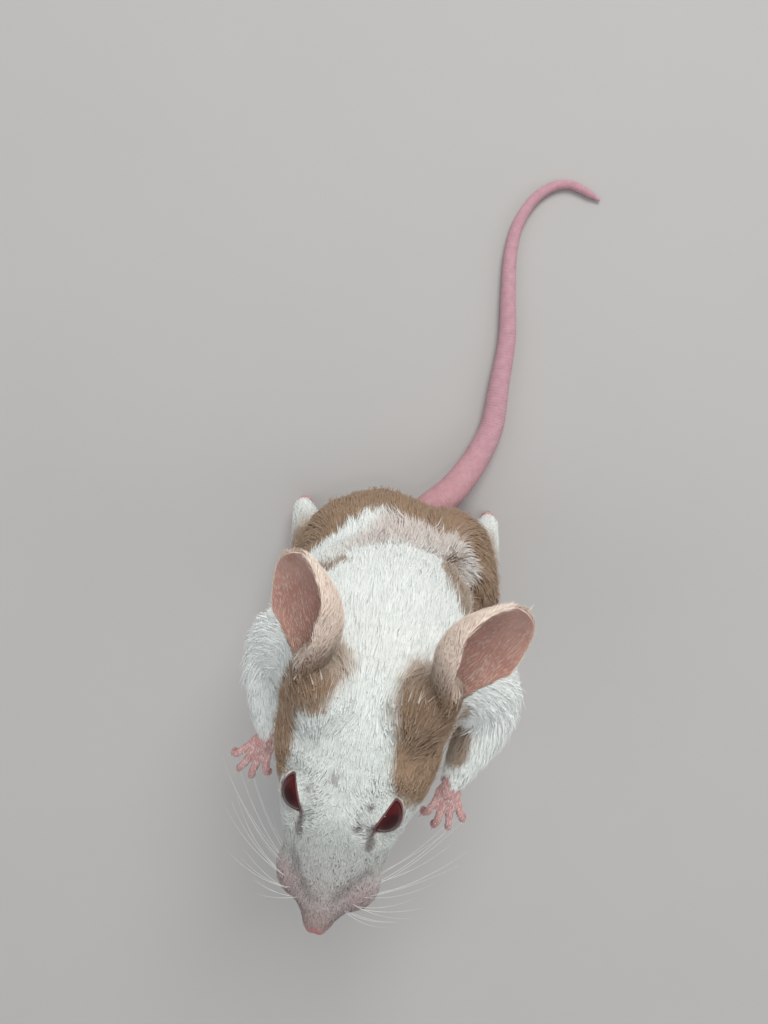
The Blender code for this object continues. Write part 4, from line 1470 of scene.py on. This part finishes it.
class Bed:
    """The skin as arrays, with the way a tuft takes over it from each point."""

    def __init__(self, obj):
        mesh = obj.data
        mesh.calc_loop_triangles()
        count = len(mesh.loop_triangles)
        corners = np.empty(count * 3, np.int32)
        mesh.loop_triangles.foreach_get("vertices", corners)
        self.faces = corners.reshape(-1, 3)
        self.slots = np.empty(count, np.int32)
        mesh.loop_triangles.foreach_get("material_index", self.slots)
        self.points, self.normals = points_of(mesh), normals_of(mesh)
        corner = self.points[self.faces]
        crossed = np.cross(corner[:, 1] - corner[:, 0], corner[:, 2] - corner[:, 0])
        self.areas = np.linalg.norm(crossed, axis=1) / 2 / MM ** 2
        self.middles = corner.mean(axis=1)
        neighbours = Neighbours(mesh)
        self.lie = lie_of_coat(self.points, self.normals, neighbours)
        self.length, self.depth = coat_measures(self.points)
        self.march(mesh)

    def march(self, mesh):
        tree = tree_of(mesh)
        firsts = [polygon.vertices[0] for polygon in mesh.polygons]
        grown = np.unique(self.faces[(self.slots == FURRED) | (self.slots == PAW)])
        self.way = [self.points.copy() for _ in MARCH]
        self.way_normals = [self.normals.copy() for _ in MARCH]
        for index in grown:
            place, way = Vector(self.points[index]), Vector(self.lie[index])
            before = 0
            for number, distance in enumerate(MARCH):
                step = distance - before
                before = distance
                place, normal, polygon, _ = tree.find_nearest(place + way * step * MM)
                way = way + Vector(self.lie[firsts[polygon]])
                way = (way - normal * way.dot(normal)).normalized()
                self.way[number][index] = place
                self.way_normals[number][index] = normal
        for number in range(len(MARCH)):
            untouched = np.ones(len(self.points), bool)
            untouched[grown] = False
            self.way[number][untouched] += self.lie[untouched] * MARCH[number] * MM


def eye_clearance(points):
    """1 at the edge of the lids and less inside them; large away from the eyes."""
    clear = np.full(len(points), 9.0)
    for side in SIDES:
        outward, forward, across = eye_axes(side)
        away = (points - np.array(eye_centre(side))) / MM
        distance = np.linalg.norm(away, axis=1)
        ways = away / distance[:, None]
        tilt = np.arccos(np.clip(ways @ outward, -1, 1))
        reach = tilt / lid_reach(np.arctan2(ways @ across, ways @ forward))
        reach += np.clip((distance - 2.25) / 0.6, 0, 9)
        clear = np.where(distance < 4.0, np.minimum(clear, reach), clear)
    return clear


def unwrap_of(bed, chosen):
    """An unwrap of some of the skin's triangles: three places for each."""
    mesh = bpy.data.meshes.new("bed")
    used, corners = np.unique(bed.faces[chosen], return_inverse=True)
    mesh.from_pydata([tuple(place) for place in bed.points[used]], [],
                     [tuple(face) for face in corners.reshape(-1, 3)])
    obj = bpy.data.objects.new("bed", mesh)
    bpy.context.scene.collection.objects.link(obj)
    only(obj)
    bpy.ops.object.mode_set(mode="EDIT")
    bpy.ops.mesh.select_all(action="SELECT")
    bpy.ops.uv.smart_project(angle_limit=math.radians(75), island_margin=0.006)
    bpy.ops.object.mode_set(mode="OBJECT")
    places = np.empty(len(mesh.loops) * 2, np.float32)
    mesh.uv_layers.active.data.foreach_get("uv", places)
    bpy.data.objects.remove(obj)
    bpy.data.meshes.remove(mesh)
    return 0.004 + 0.992 * places.reshape(-1, 3, 2)


# A tuft is a thin spindle: its root, a ring of three and its tip.
TUFT_FACES = np.array(((0, 2, 1), (0, 3, 2), (0, 1, 3), (4, 1, 2), (4, 2, 3), (4, 3, 1)))
TUFT_PATCH = np.array(((0.0, -1.0), (-1.0, 0.0), (1.0, 0.0), (0.0, 0.0), (0.0, 1.0))) * 0.0015


def tuft_mesh(name, places, tints, patches):
    """Joins tufts, given as five places, tints and patch places each, into one piece."""
    count = len(places)
    mesh = bpy.data.meshes.new(name)
    faces = (TUFT_FACES[None] + 5 * np.arange(count)[:, None, None]).reshape(-1)
    mesh.vertices.add(count * 5)
    mesh.vertices.foreach_set("co", places.astype(np.float32).ravel())
    mesh.loops.add(len(faces))
    mesh.loops.foreach_set("vertex_index", faces.astype(np.int32))
    mesh.polygons.add(count * 6)
    mesh.polygons.foreach_set("loop_start", np.arange(0, count * 18, 3, dtype=np.int32))
    mesh.polygons.foreach_set("use_smooth", np.zeros(count * 6, bool))
    mesh.update(calc_edges=True)
    tint_points(mesh, tints.reshape(-1, 3))
    layer = mesh.uv_layers.new(name="OFBake")
    corners = (patches[:, None, :] + TUFT_PATCH[None]).reshape(-1, 2)[faces]
    layer.data.foreach_set("uv", corners.astype(np.float32).ravel())
    obj = bpy.data.objects.new(name, mesh)
    bpy.context.scene.collection.objects.link(obj)
    mesh.materials.append(coat_material())
    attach(obj, BODY_NAME)
    return obj


# Where a tuft's middle lies along its length, and the shades of its five points.
TUFT_MIDDLE = 0.42
TUFT_SHADES = (0.86, 0.97, 0.97, 1.0, 1.05)
# How far its root, middle and tip keep from the mouth, in millimetres, and from the eyes, in radii.
MOUTH_CLEARANCE = (0.28, 0.20, 0.12)
EYE_CLEARANCE = (1.09, 1.08, 1.08)


def grow(name, bed, chosen, density, draw, look):
    """Grows tufts over the chosen triangles of the skin; look gives their measures and colour."""
    areas = bed.areas[chosen]
    count = int(round(areas.sum() * density * sizes().fullness))
    filled = np.cumsum(areas) / areas.sum()
    local = np.searchsorted(filled, draw.random(count)).clip(0, len(chosen) - 1)
    first, second = draw.random(count), draw.random(count)
    over = first + second > 1
    first[over], second[over] = 1 - first[over], 1 - second[over]
    share = np.stack((1 - first - second, first, second), axis=1)
    corners = bed.faces[chosen[local]]

    def blend(values):
        return np.einsum("nk,nk...->n...", share, values[corners])

    root, normal = blend(bed.points), blend(bed.normals)
    normal /= np.linalg.norm(normal, axis=1)[:, None]
    length, depth, width, keep = look(blend(bed.length), blend(bed.depth), normal, draw)
    steps = np.array((0.0, *MARCH))
    ways = [root] + [blend(way) for way in bed.way]
    way_normals = [normal] + [blend(values) for values in bed.way_normals]

    def along(distance):
        place, up = np.empty_like(root), np.empty_like(root)
        distance = np.minimum(distance, steps[-1] + 0.6)
        number = np.clip(np.searchsorted(steps, distance) - 1, 0, len(MARCH) - 1)
        for index in range(len(MARCH)):
            mine = number == index
            part = ((distance[mine] - steps[index]) / (steps[index + 1] - steps[index]))[:, None]
            place[mine] = ways[index][mine] * (1 - part) + ways[index + 1][mine] * part
            up[mine] = way_normals[index][mine] * (1 - part) + way_normals[index + 1][mine] * part
        return place, up / (np.linalg.norm(up, axis=1)[:, None] + 1e-12)

    middle, middle_up = along(length * TUFT_MIDDLE)
    tip, tip_up = along(length)
    sway = 0.20 * wobble(root / MM, 2.3, 41) + 0.09 * wobble(root / MM, 0.8, 42)
    sway = sway + draw.normal(0, 0.09, count)
    way = tip - root
    side = np.cross(normal, way)
    side /= np.linalg.norm(side, axis=1)[:, None] + 1e-12
    clump = 1 + 0.22 * wobble(root / MM, 1.5, 43)
    stray = np.where(draw.random(count) < 0.03, 1.55, 1.0)
    lift = depth * clump * stray
    middle = middle + middle_up * (lift * draw.uniform(0.60, 0.85, count))[:, None] * MM
    middle = middle + side * (sway * length * 0.36)[:, None] * MM
    tip = tip + tip_up * (lift * draw.uniform(0.55, 1.12, count))[:, None] * MM
    tip = tip + side * (sway * length)[:, None] * MM
    for place, mouth, eye in zip((root, middle, tip), MOUTH_CLEARANCE, EYE_CLEARANCE):
        keep &= (mouth_gap(place) > mouth) & (eye_clearance(place) > eye)
    half = (0.5 * width)[:, None] * MM
    side = np.cross(middle_up, tip - root)
    side /= np.linalg.norm(side, axis=1)[:, None] + 1e-12
    sunk = root - normal * 0.05 * MM
    ridge = middle + middle_up * half * 0.4
    places = np.stack((sunk, middle - side * half, middle + side * half, ridge, tip), axis=1)
    places[:, :, 2] = np.maximum(places[:, :, 2], 0.02 * MM)
    seen = root + (middle - root) * 1.25
    colour = look.colour(seen) * draw.uniform(0.93, 1.06, count)[:, None]
    tints = colour[:, None, :] * np.array(TUFT_SHADES)[None, :, None]
    patches = np.einsum("nk,nkc->nc", share, unwrap_of(bed, chosen)[local])
    obj = tuft_mesh(name, places[keep], tints[keep], patches[keep])
    return obj


class BodyCoat:
    """How tufts of the body and head look."""

    colour = staticmethod(coat_colour)

    def __call__(self, length, depth, normal, draw):
        count = len(length)
        width = sizes().tuft_width / MM * np.clip(length / 2.8, 0.26, 1.0) ** 0.5
        length = length * draw.uniform(0.78, 1.18, count)
        return length, depth, width * draw.uniform(0.8, 1.2, count), np.ones(count, bool)


class FineHairs:
    """Short hairs in ranges of length, depth and width, in millimetres; on_top leaves soles bare."""

    def __init__(self, colour, length, depth, width, on_top=False):
        self.colour, self.on_top = colour, on_top
        self.ranges = (length, depth, width)

    def __call__(self, length, depth, normal, draw):
        count = len(length)
        keep = np.ones(count, bool)
        if self.on_top:
            keep = draw.random(count) < np.clip(normal[:, 2] * 1.6 + 0.1, 0, 1)
        return (*(draw.uniform(low, high, count) for low, high in self.ranges), keep)


def plain(colour):
    """A look's colour that is the same all over."""
    return lambda places: np.tile(colour, (len(places), 1))


PAW_HAIRS = FineHairs(plain((0.92, 0.84, 0.82)), (0.35, 0.65), (0.06, 0.14), (0.03, 0.05), on_top=True)
EAR_BACK_HAIRS = FineHairs(ear_back_colour, (0.7, 1.25), (0.12, 0.26), (0.05, 0.085))
EAR_DOWN = FineHairs(plain((0.80, 0.66, 0.60)), (0.4, 0.8), (0.05, 0.12), (0.025, 0.04))

# Tufts for each square millimetre of skin.
DENSITY = {"muzzle": 86 * 1.45, "crown": 86, "neck": 52, "chest": 46, "belly": 42, "rump": 46, "arm": 48,
           "leg": 36}
BARE_DENSITY = {PAW: 18, EAR_BACK: 54, EAR: 18}


def regions(bed):
    """The furred triangles sorted into pieces by the solid that they stand for and by side."""
    tree_size = sum(len(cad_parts[node].data.vertices) for node in FLESH)
    tree = KDTree(tree_size)
    owners = []
    for number, node in enumerate(FLESH):
        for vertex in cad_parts[node].data.vertices:
            tree.insert(vertex.co, len(owners))
            owners.append(number)
    tree.balance()
    furred = np.flatnonzero(bed.slots == FURRED)
    nodes = np.array([owners[tree.find(middle)[1]] for middle in bed.middles[furred]])
    head, body = in_head(bed.middles[furred]), in_body(bed.middles[furred])
    found = {}
    for number, node in enumerate(FLESH):
        mine = nodes == number
        if node == "head":
            for part, share in (("muzzle", head[:, 1] < -4), ("crown", head[:, 1] >= -4)):
                for side, half in (("left", head[:, 0] > 0), ("right", head[:, 0] <= 0)):
                    found[f"coat_{part}_{side}"] = furred[mine & share & half]
        elif node in ("neck", "chest", "belly", "rump"):
            for side, half in (("left", body[:, 0] > -1.5), ("right", body[:, 0] <= -1.5)):
                found[f"coat_{node}_{side}"] = furred[mine & half]
        else:
            found["coat_" + node] = furred[mine]
    return found


class MOUSE_OT_coat(bpy.types.Operator):
    """Grows the coat in tufts that lie along the body, in pieces by region"""

    bl_idname = "mouse.coat"
    bl_label = "Coat"

    def execute(self, context):
        bed = Bed(bpy.data.objects["skin"])
        draw = np.random.default_rng(sizes().seed)
        for name, chosen in regions(bed).items():
            part = name.split("_")[1]
            grow(name, bed, chosen, DENSITY[part], draw, BodyCoat())
        for name, kind, slot, look in (("coat_paws", PAW, "coat_white", PAW_HAIRS),
                                       ("coat_ear_backs", EAR_BACK, "coat_fawn", EAR_BACK_HAIRS),
                                       ("coat_ear_insides", EAR, "coat_white", EAR_DOWN)):
            grow(name, bed, np.flatnonzero(bed.slots == kind), BARE_DENSITY[kind], draw, look)
        return {"FINISHED"}


# ---------------------------------------------------------------- the studio

CAMERA_HEIGHT = 122 * MM
CAMERA_TURN = math.radians(12.8)
CAMERA_LEAN = (-0.0519, -0.0279)          # tangents of the lean towards the right and towards the top
LENS = 37.03


def camera_place():
    """The camera looks almost straight down on the mouse from over its head."""
    right = Vector((math.cos(CAMERA_TURN), math.sin(CAMERA_TURN), 0))
    ahead = Vector((-math.sin(CAMERA_TURN), math.cos(CAMERA_TURN), 0))
    look = (-UP + right * CAMERA_LEAN[0] + ahead * CAMERA_LEAN[1]).normalized()
    right = (right - look * right.dot(look)).normalized()
    turn = Matrix((right, right.cross(look), -look)).transposed()
    return Matrix.Translation(Vector((SHIFT.x, SHIFT.y, CAMERA_HEIGHT))) @ turn.to_4x4()


def soft_light(name, place, aim, size, power, tint, mirrored):
    light = bpy.data.lights.new(name, "AREA")
    light.shape = "DISK"
    light.size = size
    light.energy = power
    light.color = tint
    obj = bpy.data.objects.new(name, light)
    bpy.context.scene.collection.objects.link(obj)
    obj.visible_glossy = mirrored       # whether it shows in the eyes
    obj.location = place
    obj.rotation_euler = (Vector(aim) - Vector(place)).to_track_quat("-Z", "Y").to_euler()


def floor_material():
    material = bpy.data.materials.new("floor")
    material.use_nodes = True
    tree = material.node_tree
    shader = tree.nodes["Principled BSDF"]
    grain = tree.nodes.new("ShaderNodeGroup")
    grain.node_tree = grain_group()
    grain.inputs["Tint"].default_value = (*colours().floor, 1)
    grain.inputs["Shade"].default_value = (0.97, 0.97, 0.97, 1)
    grain.inputs["Scale"].default_value = 40
    grain.inputs["Amount"].default_value = 0.5
    tree.links.new(grain.outputs["Colour"], shader.inputs["Base Color"])
    shader.inputs["Roughness"].default_value = 0.85
    return material


class MOUSE_OT_studio(bpy.types.Operator):
    """Makes the pale floor, the soft lights and the camera"""

    bl_idname = "mouse.studio"
    bl_label = "Studio"

    def execute(self, context):
        scene = context.scene
        bpy.ops.object.select_all(action="DESELECT")
        bpy.ops.mesh.primitive_plane_add(size=1.6)
        floor = bpy.context.object
        floor.name = "floor"
        floor.data.transform(Matrix.Translation((0, 0, -0.02 * MM)))
        floor.data.materials.append(floor_material())
        world = bpy.data.worlds.new("studio")
        world.use_nodes = True
        sky = world.node_tree.nodes["Background"]
        sky.inputs["Color"].default_value = (0.95, 0.97, 1.0, 1)
        sky.inputs["Strength"].default_value = 0.45
        scene.world = world
        soft_light("key", (0.05, 0.32, 0.42), (0, 0, 0.02), 0.30, 1.7, (1.0, 0.98, 0.95), False)
        soft_light("fill", (-0.35, -0.15, 0.35), (0, 0, 0.02), 0.30, 0.22, (0.97, 0.98, 1.0), False)
        soft_light("side", (0.40, -0.05, 0.30), (0, 0, 0.02), 0.25, 0.22, (1.0, 0.98, 0.96), False)
        soft_light("glint", (0.06, -0.06, 0.45), (0, -0.03, 0.04), 0.04, 0.10, (1.0, 1.0, 1.0), True)
        scene.view_settings.view_transform = "Standard"
        lens = bpy.data.cameras.new("camera")
        lens.lens = LENS
        lens.sensor_width = 36
        lens.sensor_fit = "HORIZONTAL"
        lens.clip_start = 0.005
        camera = bpy.data.objects.new("camera", lens)
        scene.collection.objects.link(camera)
        camera.matrix_world = camera_place()
        scene.camera = camera
        return {"FINISHED"}


class MOUSE_PT_panel(bpy.types.Panel):
    """Sidebar panel with the mouse's steps in order"""

    bl_idname = "MOUSE_PT_panel"
    bl_label = "Pet mouse"
    bl_space_type = "VIEW_3D"
    bl_region_type = "UI"
    bl_category = "Mouse"

    def draw(self, context):
        for step in STEPS:
            self.layout.operator(step.bl_idname)
        for group in (context.scene.mouse_sizes, context.scene.mouse_colours):
            for name in group.bl_rna.properties.keys():
                if name not in ("rna_type", "name"):
                    self.layout.prop(group, name)


STEPS = (MOUSE_OT_skin, MOUSE_OT_eyes, MOUSE_OT_claws, MOUSE_OT_whiskers, MOUSE_OT_coat, MOUSE_OT_studio)
CLASSES = (MouseSizes, MouseColours, *STEPS, MOUSE_PT_panel)


def register():
    for cls in CLASSES:
        bpy.utils.register_class(cls)
    bpy.types.Scene.mouse_sizes = PointerProperty(type=MouseSizes)
    bpy.types.Scene.mouse_colours = PointerProperty(type=MouseColours)


def unregister():
    del bpy.types.Scene.mouse_sizes
    del bpy.types.Scene.mouse_colours
    for cls in reversed(CLASSES):
        bpy.utils.unregister_class(cls)


def main():
    register()
    for step in STEPS:
        area, name = step.bl_idname.split(".")
        getattr(getattr(bpy.ops, area), name)()


if __name__ == "__main__":
    main()
